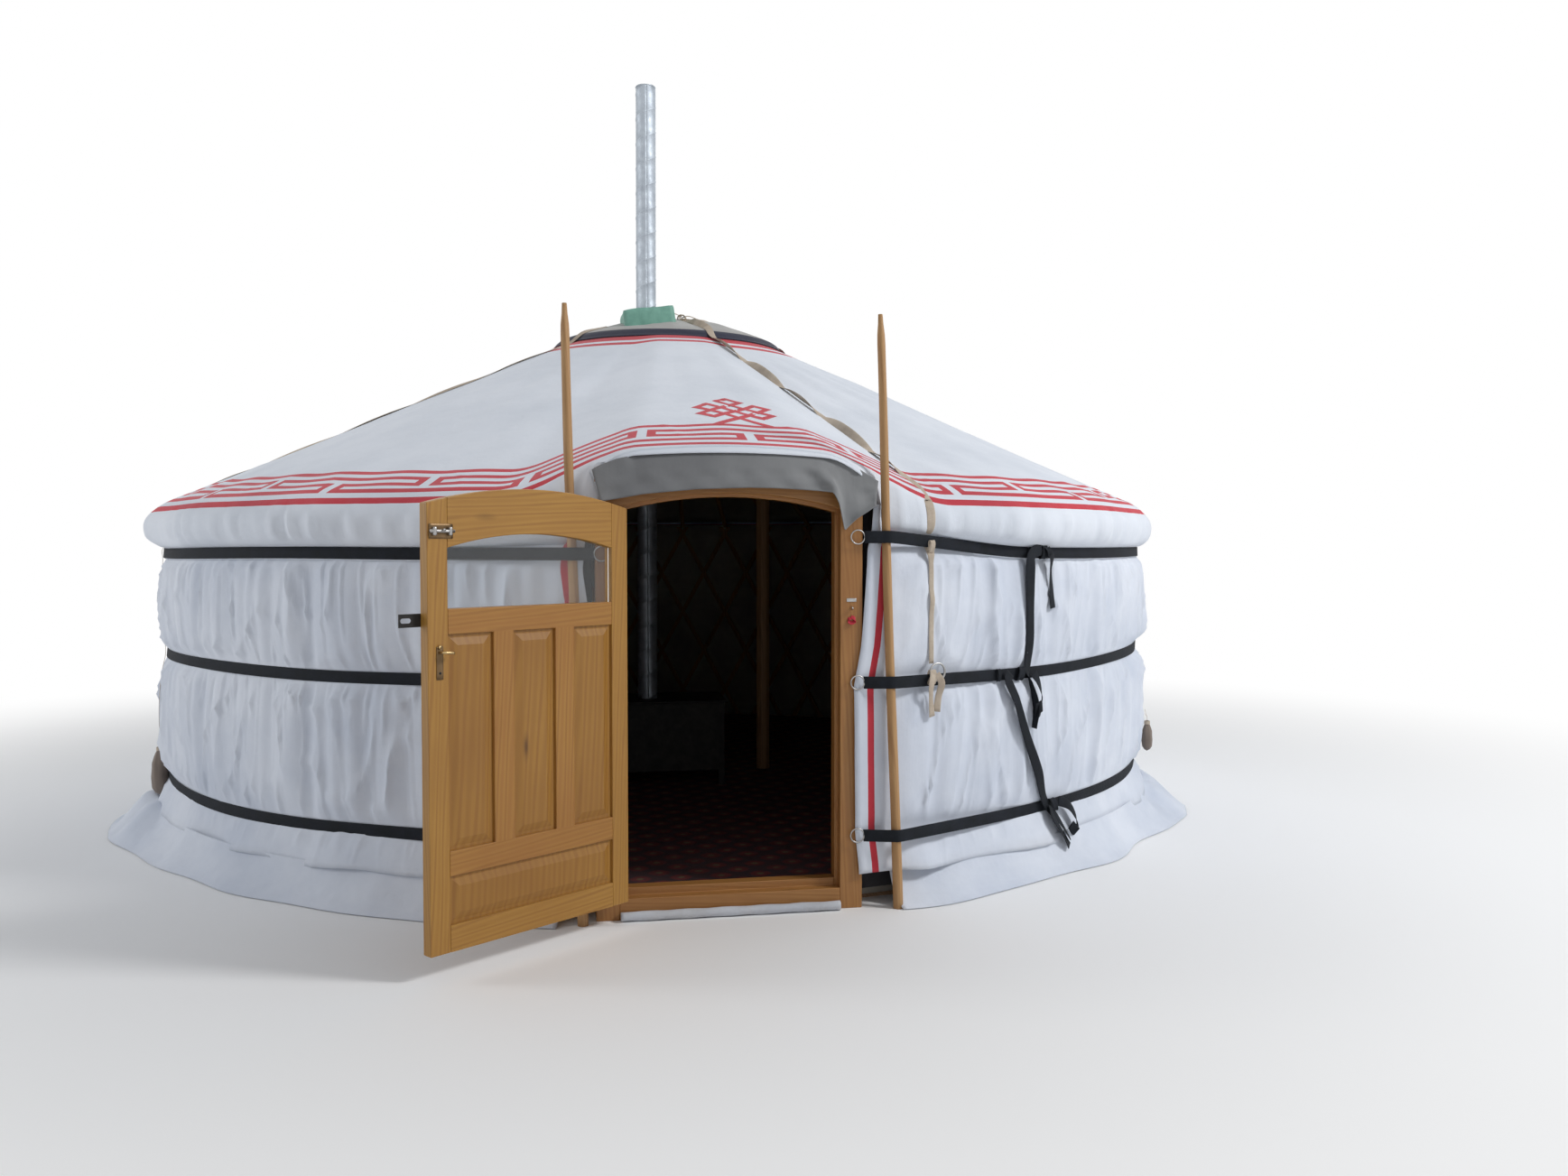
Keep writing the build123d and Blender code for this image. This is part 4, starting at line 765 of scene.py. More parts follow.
# Felt and lining behind the canvas
FELT_RADIUS = 2.766
LINING_RADIUS = 2.7475


def taut_radius(azimuth):
    """Radius of the line that a taut band takes from beside the door to the round wall."""
    turn = np.radians(np.maximum(TANGENT - np.abs(azimuth), 0.0))
    return np.minimum((WALL_RADIUS + 0.002) / np.cos(turn), FLAP_RADIUS)


def wall_radius(azimuth, height):
    """Radius of the wall canvas: pinched at the bands, bellied between them, flared at the foot."""
    away = np.abs(azimuth)
    tucked = smooth((height - 1.45) / 0.06) * smooth((away - TUCK_FROM) / 1.0)
    base = taut_radius(azimuth) * (1 - tucked) + WALL_RADIUS * tucked
    levels = [band_height(number, azimuth) for number in range(3)]
    upper = np.clip((levels[0] - height) / np.maximum(levels[0] - levels[1], 0.1), 0, 1)
    lower = np.clip((levels[1] - height) / np.maximum(levels[1] - levels[2], 0.1), 0, 1)
    belly = 0.028 * np.sin(math.pi * upper) ** 0.7 + 0.030 * np.sin(math.pi * lower) ** 0.7
    pinch = sum(np.exp(-(((height - level) / 0.044) ** 2)) for level in levels)
    loose = 1 - np.clip(pinch * 1.5, 0, 1) * 0.97
    fan = 0.0
    for level in levels:
        off = height - level
        fan = fan + np.where(off < 0, np.exp(np.minimum(off, 0) / 0.20), np.exp(-np.maximum(off, 0) / 0.10))
    fan = np.clip(fan, 0, 1.1)
    folds = 0.0055 * ripples(azimuth, height, 21, (40, 110), 0.25)
    folds = folds + 0.0215 * fan * sharp_creases(azimuth, height, 22, (36, 100), 1.7, 0.20)
    folds = folds + 0.0036 * ripples(azimuth, height, 27, (110, 210), 0.25) * (0.35 + fan)
    folds = folds + 0.0200 * sharp_creases(azimuth, height, 23, (16, 56), 2.2, 0.15)
    broad = 0.007 * ripples(azimuth, height, 24, (5, 17), 0.4)
    under_eave = 1 - smooth((height - 1.40) / 0.05)
    calm = 1 - 0.80 * smooth((17.0 - away) / 4.0)
    below_band = np.clip((levels[2] - 0.020 - height) / 0.135, 0, 1)
    flare = 0.058 * below_band**0.85
    waves = 0.0065 * ripples(azimuth, height, 28, (14, 46), 0.3) * below_band
    waves = waves - 0.9 * folds * smooth((levels[2] - 0.03 - height) / 0.06)
    loose_cloth = (belly + folds + broad) * loose * under_eave
    return base + 0.001 + calm * (loose_cloth + flare + waves)


def flap_edge(side, height):
    """Azimuth of the wall canvas's free edge beside the door."""
    if side > 0:
        knots_z = (0.12, 0.177, 0.315, 0.60, 0.904, 1.075, 1.461, 1.577)
        knots_x = (0.518, 0.516, 0.503, 0.498, 0.497, 0.527, 0.556, 0.582)
    else:
        knots_z = (0.12, 0.300, 0.600, 0.938, 1.150, 1.380, 1.441, 1.577)
        knots_x = (0.530, 0.520, 0.515, 0.515, 0.550, 0.582, 0.578, 0.562)
    x = np.interp(height, knots_z, knots_x)
    return np.degrees(np.arcsin(x / FLAP_RADIUS))


def add_wall_half(side, name):
    """One half of the wall canvas, from its free edge at the door to the seam at the back."""
    rows = [WALL_HEM]
    for top, count in ROW_STEPS:
        rows += list(np.linspace(rows[-1], top, count)[1:])
    rows = np.array(rows + [1.54, 1.64])[:, None]
    edge = flap_edge(side, rows)
    columns = np.concatenate([FLAP_COLUMNS, np.linspace(FLAP_COLUMNS[-1], 0.30, 12)[1:]])
    near = edge + np.degrees(columns[None, :] / CANVAS_RADIUS)
    far = np.linspace(0, 1, WALL_COLUMNS)[1:][None, :]
    rest = near[:, -1:] + (180.0 - near[:, -1:]) * far
    azimuth = side * np.concatenate([near, rest], axis=1)
    height = rows + 0.0 * azimuth
    waves = 0.003 * ripples(azimuth, 0.0 * azimuth, 26, (9, 40), 0.0)
    hem = band_height(2, azimuth) - BANDS[2] + waves
    height = height + hem * smooth((0.50 - height) / 0.25)
    points = place(wall_radius(azimuth, height), azimuth, height)
    slots = np.zeros((len(rows) - 1, azimuth.shape[1] - 1), np.int32)
    slots[:, STRIPE_COLUMN] = 1
    if side < 0:
        points = points[:, ::-1]
        slots = slots[:, ::-1]
    piece = grid_piece(name, points, [white_canvas, red_cloth], slots, thickness=CANVAS_THICK)
    right, left = ("wall_cover_1", "wall_cover_2"), ("wall_cover_3", "wall_cover_4", "wall_cover_5")
    finish_piece(piece, replaces=right if side > 0 else left)


add_wall_half(1, "wall_canvas_right")
add_wall_half(-1, "wall_canvas_left")


def add_linings():
    """Felt behind the wall canvas, the lining inside it, and the lining under the roof canvas."""
    start = 11.4
    azimuth = np.linspace(start, 360 - start, 340)[None, :]
    height = np.linspace(0.02, 1.66, 14)[:, None]
    radius = LINING_RADIUS + 0.0012 * ripples(azimuth, height, 31, (20, 90), 0.4)
    inner = place(radius, azimuth, height + 0.0 * azimuth)
    lining = grid_piece("wall_lining", inner, [lining_cloth], thickness=-0.0015)
    finish_piece(lining)
    felt_points = place(FELT_RADIUS, azimuth, np.linspace(0.05, 1.66, 14)[:, None])
    felt = grid_piece("wall_felt", felt_points, [felt_cloth], thickness=0.012)
    finish_piece(felt)
    azimuth = np.linspace(0, 360, 241)[:-1][None, :]
    plain = np.linspace(0.03, 2.385, 16)[:, None]
    raised = np.linspace(0.03, 2.350, 16)[:, None]
    points = roof_surface(azimuth, plain, raised, -0.030)
    under = grid_piece("roof_felt", points, [lining_cloth], closed=True, thickness=0.006)
    finish_piece(under)


add_linings()


# Ribbons: flat tapes swept along smooth lines
def spline(points, step=0.012):
    """Smooth line through points, as points about one step apart, with the share of the way along."""
    points = np.array(points, float)
    padded = np.vstack([2 * points[0] - points[1], points, 2 * points[-1] - points[-2]])
    out, shares = [], []
    for index in range(len(points) - 1):
        a, b, c, d = padded[index:index + 4]
        count = max(2, int(np.linalg.norm(c[:3] - b[:3]) / step) + 1)
        t = np.linspace(0, 1, count, endpoint=index == len(points) - 2)[:, None]
        square, cube = 2 * a - 5 * b + 4 * c - d, 3 * b - a - 3 * c + d
        out.append(0.5 * (2 * b + (c - a) * t + square * t**2 + cube * t**3))
        shares.append((index + t[:, 0]) / (len(points) - 1))
    return np.concatenate(out), np.concatenate(shares)


def ribbon(name, line, sides, width, thickness, material, slot, closed=False, curl=0.0):
    """Tape along a line of points, its width along sides. closed joins the ends."""
    line = np.asarray(line, float)
    count = len(line)
    width = np.broadcast_to(width, (count,))
    if closed:
        run = np.roll(line, -1, 0) - np.roll(line, 1, 0)
    else:
        run = np.gradient(line, axis=0)
    run /= np.linalg.norm(run, axis=1, keepdims=True) + 1e-12
    sides = np.asarray(sides, float)
    sides = sides - run * (sides * run).sum(1, keepdims=True)
    sides /= np.linalg.norm(sides, axis=1, keepdims=True) + 1e-12
    normal = np.cross(run, sides)
    across = (-0.5, -0.46, -0.17, 0.17, 0.46, 0.5)
    thick = (0.25, 1.0, 1.0, 1.0, 1.0, 0.25)
    ring = [(x, t / 2) for x, t in zip(across, thick)]
    ring += [(x, -t) for x, t in reversed(ring)]
    loops = []
    for x, t in ring:
        bow = curl * (1 - (2 * x) ** 2)
        loops.append(line + sides * (x * width)[:, None] + normal * (t * thickness + bow))
    points = np.stack(loops, axis=1).reshape(-1, 3)
    piece = mesh_piece(name, points, tube_faces(count, len(ring), closed), [material])
    return finish_piece(piece)


def outward(azimuth):
    return place(1.0, azimuth, 0.0)


def tangent(azimuth):
    return place(1.0, np.asarray(azimuth) + 90.0, 0.0)


# Door poles: where their feet and tops are across the door, by side, their height and half thickness
POLE_FEET = {-1: (-0.585, -0.645), 1: (0.676, 0.607)}
POLE_TOP = 2.405
POLE_THICK = 0.020
# Distance of a taut band's middle from the round wall, and the least radius of the top band
BAND_STAND = 0.0055
TOP_BAND_RADIUS = 2.7965


def door_pole_point(side, height):
    """Middle of a door pole at a height."""
    foot_x, top_x = POLE_FEET[side]
    touch_x = blend_value(foot_x, top_x, EAVE_HEIGHT / POLE_TOP)
    x = blend_value(foot_x, top_x, height / POLE_TOP)
    eave_y = -math.sqrt((EAVE_RADIUS + POLE_THICK + 0.0003) ** 2 - touch_x**2)
    y = eave_y - 0.030 * (1 - height / EAVE_HEIGHT)
    return x, y


def taut_start(side, number):
    """Where a band leaves the front of a door pole, and the azimuth at which it meets the wall."""
    end = BAND_ENDS[side][number]
    x, y = door_pole_point(side, end)
    spot = np.array([x + side * 0.018, y - POLE_THICK - 0.003])
    reach = math.hypot(*spot)
    onwards = math.acos((WALL_RADIUS + BAND_STAND) / reach)
    return spot, math.degrees(math.atan2(abs(spot[0]), -spot[1]) + onwards)


def band_radius(number, signed):
    """Radius of a band's middle, on the wall or on its straight way there from a door pole."""
    heights = band_height(number, signed)
    wall = wall_radius(signed, heights)
    if number == 0:
        wall = np.maximum(wall, TOP_BAND_RADIUS)
    radius = wall + 0.0040
    for side in (1, -1):
        _, meets = taut_start(side, number)
        turn = np.radians(np.clip(meets - side * signed, 0, 40))
        line = (WALL_RADIUS + BAND_STAND) / np.cos(turn)
        radius = np.where((side * signed > 0) & (side * signed < meets), np.maximum(line, radius), radius)
    return radius


def band_line(number):
    """Middle line of a band from its right ring round the back to its left ring."""
    ends = []
    for side in (1, -1):
        end = BAND_ENDS[side][number]
        x, y = door_pole_point(side, end)
        spot, _ = taut_start(side, number)
        ends.append([
            (side * (RING_X + RING_RADIUS - 0.006), -(FLAP_FRONT + 0.002), end),
            (side * (RING_X + RING_RADIUS + 0.014), -(FLAP_FRONT + 0.010), end),
            (x - side * 0.016, y - POLE_THICK - 0.003, end),
            (spot[0], spot[1], end),
        ])
    right, left = ends
    azimuths = np.concatenate([np.linspace(16, 60, 24), np.linspace(60, 300, 60)[1:-1],
                               np.linspace(300, 344, 24)])
    signed = np.where(azimuths > 180, azimuths - 360, azimuths)
    radius = band_radius(number, signed)
    steady = np.convolve(np.pad(radius, 1, mode="edge"), np.ones(3) / 3, mode="valid")
    wall = place(np.maximum(steady, radius), azimuths, band_height(number, signed))
    return np.vstack([right, wall, left[::-1]])


BAND_NAMES = ("band_top", "band_middle", "band_bottom")
TAPE_THICK = 0.0028
DARK_TAPE = (dark_webbing, "black_webbing")
BEIGE_TAPE = (beige_webbing, "beige_webbing")
for number, node in enumerate(BAND_NAMES):
    line, _ = spline(band_line(number), 0.030)
    roll = 0.10 * np.sin(np.arange(len(line)) * 0.11 + number)
    plan = line * np.array([1, 1, 0])
    plan /= np.linalg.norm(plan, axis=1, keepdims=True)
    upright = same_way(line, z=1.0) + plan * roll[:, None]
    piece = ribbon("webbing_" + node, line, upright, BAND_WIDTH, TAPE_THICK, *DARK_TAPE)
    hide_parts(node)


def wall_spot(azimuth, height, stand):
    """Point off the wall canvas, or off the bands' way where they run straight in front of it."""
    azimuth, height = np.asarray(azimuth, float), np.asarray(height, float)
    signed = (azimuth + 180.0) % 360.0 - 180.0
    radius = wall_radius(signed, height)
    for number in range(3):
        near = np.exp(-(((height - band_height(number, signed)) / 0.09) ** 2))
        radius = radius + (np.maximum(band_radius(number, signed) - 0.003, radius) - radius) * near
    return place(radius + stand, azimuth, height)


def tail(name, spots, twist, width=0.046, tape=DARK_TAPE, thickness=TAPE_THICK):
    """Hanging end of a tape: spots are azimuth, height and stand-off, with a twist in degrees at each."""
    controls = np.array([[*wall_spot(a, z, s), t, a] for (a, z, s), t in zip(spots, twist)])
    line, _ = spline(controls)
    run = np.gradient(line[:, :3], axis=0)
    run /= np.linalg.norm(run, axis=1, keepdims=True)
    across = np.cross(run, outward(line[:, 4]))
    across /= np.linalg.norm(across, axis=1, keepdims=True) + 1e-9
    normal = np.cross(across, run)
    angle = np.radians(line[:, 3])[:, None]
    sides = across * np.cos(angle) + normal * np.sin(angle)
    return ribbon(name, line[:, :3], sides, width, thickness, *tape)


def wrap(name, azimuth, height, half_height, half_depth, width, lean=0.0, tape=DARK_TAPE):
    """Turn of tape round a band, standing on the wall."""
    turns = np.linspace(0, 2 * math.pi, 33)[:-1]
    a = azimuth + np.degrees(lean * np.sin(turns) / 2.8)
    z = height + half_height * np.sin(turns)
    line = wall_spot(a, z, 0.004 + half_depth * (1 + np.cos(turns)))
    sides = tangent(np.full(len(turns), azimuth))
    return ribbon(name, line, sides, width, 0.0035, *tape, closed=True, curl=0.002)


# Tied ends on the right, each a turn round the band with its ends hanging
wrap("knot_top", 31.6, 1.446, 0.031, 0.014, 0.036, 0.006)
wrap("knot_top_cross", 31.9, 1.444, 0.022, 0.019, 0.026, -0.010)
tail("tail_top_short",
     [(31.9, 1.455, 0.030), (32.5, 1.425, 0.036), (32.8, 1.36, 0.026), (33.0, 1.27, 0.020),
      (33.2, 1.19, 0.018)],
     (0, 10, 25, 12, 5))
tail("tail_top_long",
     [(31.2, 1.462, 0.026), (29.6, 1.435, 0.034), (29.2, 1.36, 0.026), (29.3, 1.20, 0.014),
      (29.5, 1.05, 0.012), (29.7, 0.93, 0.016), (29.9, 0.86, 0.020), (30.0, 0.76, 0.018),
      (29.8, 0.66, 0.016)],
     (0, 0, -8, 4, 0, 12, 60, 75, 70), 0.056)
wrap("knot_middle", 28.6, 0.905, 0.029, 0.013, 0.040, 0.010)
wrap("knot_middle_slide", 25.6, 0.908, 0.027, 0.010, 0.020)
tail("tail_middle_loop",
     [(30.2, 0.905, 0.030), (30.6, 0.86, 0.040), (30.9, 0.79, 0.032), (30.3, 0.72, 0.030),
      (29.8, 0.78, 0.040)],
     (0, 20, 40, 20, 0))
tail("tail_middle_long",
     [(27.0, 0.915, 0.026), (26.6, 0.880, 0.034), (27.3, 0.79, 0.022), (28.6, 0.63, 0.014),
      (30.3, 0.46, 0.014), (32.4, 0.31, 0.018), (33.8, 0.22, 0.024), (34.6, 0.13, 0.030)],
     (0, 6, 12, 4, -6, 10, 30, 40), 0.054)
wrap("knot_bottom", 33.6, 0.286, 0.030, 0.015, 0.040, -0.012)
tail("tail_bottom_loop",
     [(34.2, 0.300, 0.032), (35.6, 0.270, 0.046), (36.4, 0.205, 0.040), (35.9, 0.150, 0.036),
      (35.0, 0.19, 0.044)],
     (0, 15, 30, 40, 10))
tail("tail_bottom_end",
     [(33.0, 0.285, 0.030), (32.7, 0.24, 0.040), (33.4, 0.17, 0.034), (34.3, 0.10, 0.034)],
     (0, 20, 35, 20))


# Crown cover
COVER_FOOT = 2.700
COVER_RADIUS = 0.665
COVER_RISE = 0.165
COVER_ROWS = 22
BOX_HALF = 0.150
BOX_TOP = 2.858
BOX_TILT = 8.0
BOX_HEIGHT = 0.175


def crown_height(radius, azimuth):
    """Height of the crown's cover, which sags between the ribs."""
    share = np.clip(radius / COVER_RADIUS, 0, 1)
    dome = COVER_RISE * (1 - share**1.7)
    ribs = 0.5 + 0.5 * np.cos(np.radians(azimuth) * 8)
    arch = np.sin(math.pi * share)
    sag = -0.013 * (1 - ribs) * arch**1.2
    crumple = 0.0040 * ripples(azimuth, radius * 3, 41, (2, 14), 0.8) * arch
    pleats = 0.0050 * creases(azimuth, radius * 2, 43, (6, 34), 0.6, 0.30) * arch
    return COVER_FOOT + dome + sag + crumple + pleats


def add_crown_cover():
    """Grey cloth over the crown with a navy rim, open where the chimney box stands."""
    azimuth = np.linspace(0, 360, 97)[:-1][None, :]
    inner = np.linspace(0.012, COVER_RADIUS, COVER_ROWS)[:, None]
    height = crown_height(inner, azimuth)
    radius = inner + 0.0 * azimuth
    slope = (CROWN_EDGE_HEIGHT - ROOF_BREAK_HEIGHT) / (ROOF_BREAK_RADIUS - CROWN_EDGE_RADIUS)
    flap_radius = COVER_RADIUS + np.array([0.012, 0.022, 0.032, 0.042])[:, None]
    flap_radius = flap_radius + 0.003 * ripples(azimuth, 0 * azimuth, 42, (3, 20), 0.0)
    roof_there = CROWN_EDGE_HEIGHT - slope * (flap_radius - CROWN_EDGE_RADIUS)
    flap_height = np.maximum(roof_there + 0.007, np.array([2.688, 2.676, 0.0, 0.0])[:, None])
    radius = np.vstack([radius, flap_radius])
    height = np.vstack([height, flap_height])
    points = place(radius, azimuth, height)
    x, y = points[..., 0] - PIPE[0], points[..., 1] - PIPE[1]
    hole = (np.abs(x) < BOX_HALF - 0.012) & (np.abs(y) < BOX_HALF - 0.012)
    inside = hole[:-1] & hole[1:]
    inside = inside & np.roll(inside, -1, axis=1)
    slots = np.zeros((points.shape[0] - 1, points.shape[1]), np.int32)
    slots[COVER_ROWS - 1:, :] = 1
    piece = grid_piece("crown_canvas", points, [crown_cloth, navy_cloth], slots, closed=True,
                       keep=~inside, thickness=0.003)
    finish_piece(piece, replaces=("crown_cover",))


add_crown_cover()


# Beige straps over the roof
STRAP_KNOT = (0.057, -0.272)
# How far from the pipe's middle the other straps begin, and the radius to which the crown may lift one
STRAP_FROM_PIPE = 0.235
STRAP_ON_CROWN = 0.72
# Points of the roof's profile down to the eave's outermost one
SLOPE_POINTS = 26


def strap_line(azimuth, end_height):
    """Middle line of a strap, from the chimney box over the crown and the roof and down the wall."""
    eave = place(EAVE_RADIUS - 0.02, azimuth, 0.0)[:2]
    if azimuth < 90:
        start = np.array(STRAP_KNOT)
    else:
        middle = np.array(PIPE)
        start = middle + (eave - middle) / np.linalg.norm(eave - middle) * STRAP_FROM_PIPE
    share = np.linspace(0, 1, 34)[:, None]
    plan = start + (eave - start) * share
    radius = np.hypot(plan[:, 0], plan[:, 1])
    turn = np.degrees(np.arctan2(plan[:, 0], -plan[:, 1])) % 360.0
    distance = np.interp(radius, plain_line[1][:SLOPE_POINTS], plain_line[0][:SLOPE_POINTS])
    on_roof = roof_surface(turn, distance, raised_distance(distance), 0.004)
    on_crown = place(radius, turn, crown_height(radius, turn) + 0.005)
    upper = (radius < STRAP_ON_CROWN)[:, None] & (on_crown[:, 2:] > on_roof[:, 2:])
    roof_part = np.where(upper, on_crown, on_roof)
    distances = np.linspace(2.46, plain_line[0][-1] - 0.06, 9)
    eave_part = roof_surface(np.full(len(distances), azimuth), distances, raised_distance(distances), 0.004)
    heights = np.linspace(1.400, end_height, 9)
    wall_part = wall_spot(np.full(len(heights), azimuth), heights, 0.010)
    top = wall_spot([azimuth], [1.45], 0.012)
    return np.vstack([roof_part, eave_part, top, wall_part])


# Azimuth of each strap and the height of its lower end
STRAPS = ((17.1, 0.985), (106.0, 0.935), (196.0, 0.935), (286.8, 0.470))
for index, (azimuth, end_height) in enumerate(STRAPS):
    line, share = spline(strap_line(azimuth, end_height), 0.020)
    turn = np.degrees(np.arctan2(line[:, 0], -line[:, 1]))
    run = np.gradient(line, axis=0)
    rise = np.where(line[:, 2] > EAVE_HEIGHT, 0.91, 0.0)[:, None]
    facing = outward(turn) * (1 - 0.6 * rise) + np.array([0, 0, 1.0]) * rise
    sides = np.cross(facing, run)
    sides = sides / np.linalg.norm(sides, axis=1, keepdims=True)
    on_slope = smooth((line[:, 2] - 1.75) / 0.10) * smooth(share / 0.04)
    roll = np.radians(52.0 if index == 0 else 12.0) * np.sin(share * 30.0 + index * 1.3) * on_slope
    sides = sides * np.cos(roll)[:, None] + facing * np.sin(roll)[:, None]
    rise_off = 0.5 * STRAP_WIDTH * np.abs(np.sin(roll))
    width = STRAP_WIDTH * (1 - 0.45 * smooth((1.46 - line[:, 2]) / 0.06))
    line = line + facing * rise_off[:, None]
    piece = ribbon(f"roof_strap_{index + 1}", line, sides, width, 0.0022, *BEIGE_TAPE)
    if index == 0:
        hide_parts("crown_straps")


def torus_piece(name, centre, normal, radius, wire, material):
    """Ring of round wire."""
    normal = Vector(normal).normalized()
    first = normal.orthogonal().normalized()
    second = normal.cross(first)
    vertices = []
    around, round_wire = 40, 12
    for index in range(around):
        turn = 2 * math.pi * index / around
        out = first * math.cos(turn) + second * math.sin(turn)
        for step in range(round_wire):
            tilt = 2 * math.pi * step / round_wire
            off = out * (radius + wire * math.cos(tilt)) + normal * wire * math.sin(tilt)
            vertices.append(Vector(centre) + off)
    faces = tube_faces(around, round_wire, closed=True, flip=True)
    return finish_piece(mesh_piece(name, vertices, faces, [material]))


# Rings at the door frame
for side, word in ((1, "right"), (-1, "left")):
    for number in range(3):
        centre = (side * RING_X, -(FLAP_FRONT + 0.002), BAND_ENDS[side][number])
        ring = torus_piece(f"ring_{word}_{number + 1}", centre, (0, 1, 0), RING_RADIUS - RING_WIRE,
                           RING_WIRE, steel)
        if side > 0 and number == 0:
            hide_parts("band_rings")

# Strap ends: a ring, a knot and short tails at the middle band
ring_spot = wall_spot([17.6], [0.950], 0.024)[0]
torus_piece("strap_ring", ring_spot, outward([17.6])[0], 0.036, 0.0045, steel)
wrap("strap_knot", 17.0, 0.930, 0.030, 0.013, 0.030, 0.004, BEIGE_TAPE)
wrap("strap_turn", 17.1, 1.470, 0.026, 0.012, 0.024, 0.002, BEIGE_TAPE)
tail("strap_tail_left",
     [(16.9, 0.945, 0.034), (16.6, 0.90, 0.040), (16.8, 0.84, 0.030), (17.1, 0.765, 0.024)],
     (0, 10, 20, 5), 0.030, BEIGE_TAPE, 0.0022)
tail("strap_tail_right",
     [(17.3, 0.945, 0.036), (17.7, 0.905, 0.044), (17.6, 0.85, 0.036), (17.5, 0.785, 0.034)],
     (0, -20, -10, -25), 0.030, BEIGE_TAPE, 0.0022)


def add_door_poles():
    """The two poles beside the door, a little crooked and tapered to blunt tips."""
    vertices, faces = [], []
    around, rows = 16, 60
    for side in (-1, 1):
        faces += tube_faces(rows + 1, around, base=len(vertices))
        for row in range(rows + 1):
            height = POLE_TOP * row / rows
            x, y = door_pole_point(side, height)
            x += 0.0025 * math.sin(height * 3.1 + side)
            taper = 1 - 0.20 * row / rows
            tip = 1 - 0.45 * float(smooth((height - 2.30) / 0.10))
            radius = POLE_THICK * taper * tip
            for step in range(around):
                turn = 2 * math.pi * step / around
                flat = 1 + 0.05 * math.cos(4 * turn) + 0.02 * math.sin(height * 11 + 2 * turn)
                out = radius * flat
                vertices.append((x + out * math.cos(turn), y + out * math.sin(turn), height))
    piece = mesh_piece("door_pole_pair", vertices, faces, [pole_wood])
    finish_piece(piece, replaces=("door_poles",))


add_door_poles()


def add_pipe():
    """Chimney pipe with a spiral seam of one turn each pitch."""
    pitch, around = 0.143, 48
    stations = (0.0, 0.022, 0.045, 0.068, 0.090, 0.36, 0.68)
    rises = (0.0, 0.0016, 0.0022, 0.0016, 0.0, 0.0, 0.0)
    turns = int((PIPE_TOP - PIPE_FOOT) / pitch) + 3
    rows, radii = [], []
    for turn in range(-1, turns):
        for station, rise in zip(stations, rises):
            rows.append(PIPE_FOOT + pitch * (turn + station))
            radii.append(PIPE_RADIUS - 0.0022 + rise)
    azimuth = np.linspace(0, 360, around + 1)[None, :]
    height = np.array(rows)[:, None] + pitch * azimuth / 360.0
    radius = np.array(radii)[:, None] + 0.0 * azimuth
    radius = radius + 0.0010 * np.sin(np.radians(azimuth) * 3 + height * 2.3)
    inside = (height > PIPE_FOOT - pitch) & (height < PIPE_TOP + pitch)
    height = np.clip(height, PIPE_FOOT, PIPE_TOP)
    points = place(radius, azimuth, height) + np.array([PIPE[0], PIPE[1], 0.0])
    rise = np.abs(np.diff(height, axis=0))
    keep = (rise[:, :-1] + rise[:, 1:] > 1e-6) & inside[:-1, :-1]
    piece = grid_piece("stove_pipe", points, [zinc], keep=keep, thickness=0.0015)
    finish_piece(piece, replaces=("chimney_pipe",))
    torus_piece("pipe_rim", (*PIPE, PIPE_TOP - 0.004), (0, 0, 1), PIPE_RADIUS - 0.003, 0.0026, zinc)


add_pipe()


def rounded_box(name, size, radius, material, spot, slot, body="tent", replaces=(), crumple=0.0,
                seed=1, cuts=6):
    """Box about its middle with rounded edges and faces that may be crumpled, placed by a matrix."""
    mesh = bpy.data.meshes.new(name)
    shape = bmesh.new()
    bmesh.ops.create_cube(shape, size=1.0)
    bmesh.ops.scale(shape, vec=size, verts=shape.verts)
    bmesh.ops.subdivide_edges(shape, edges=shape.edges[:], cuts=cuts, use_grid_fill=True)
    half = [side / 2 for side in size]
    phases = np.random.default_rng(seed).uniform(0, 6.28, 6)
    for vertex in shape.verts:
        core = Vector([max(-half[i] + radius, min(half[i] - radius, vertex.co[i])) for i in range(3)])
        away = vertex.co - core
        if away.length > 1e-9:
            vertex.co = core + away.normalized() * radius
            x, y, z = vertex.co
            wave = math.sin(x * 21 + phases[0]) * math.sin(z * 26 + phases[1])
            wave += math.sin(y * 19 + phases[2]) * math.sin(x * 33 + phases[3])
            vertex.co += away.normalized() * wave * crumple
    shape.to_mesh(mesh)
    shape.free()
    mesh.materials.append(material)
    mesh.polygons.foreach_set("use_smooth", np.ones(len(mesh.polygons), bool))
    piece = bpy.data.objects.new(name, mesh)
    bpy.context.scene.collection.objects.link(piece)
    piece.matrix_world = spot
    bpy.context.view_layer.update()
    return finish_piece(piece, body, replaces)


def add_chimney_box():
    """Tilted sheet-metal box round the foot of the pipe."""
    tilt = Matrix.Rotation(-math.radians(BOX_TILT), 4, "Y")
    top = Matrix.Translation((*PIPE, BOX_TOP))
    drop = Matrix.Translation((0, 0, -BOX_HEIGHT / 2))
    rounded_box("chimney_hood", (2 * BOX_HALF, 2 * BOX_HALF, BOX_HEIGHT), 0.014, green_sheet,
                top @ tilt @ drop, "green_metal", replaces=("chimney_box",), crumple=0.0035,
                seed=4, cuts=9)


add_chimney_box()


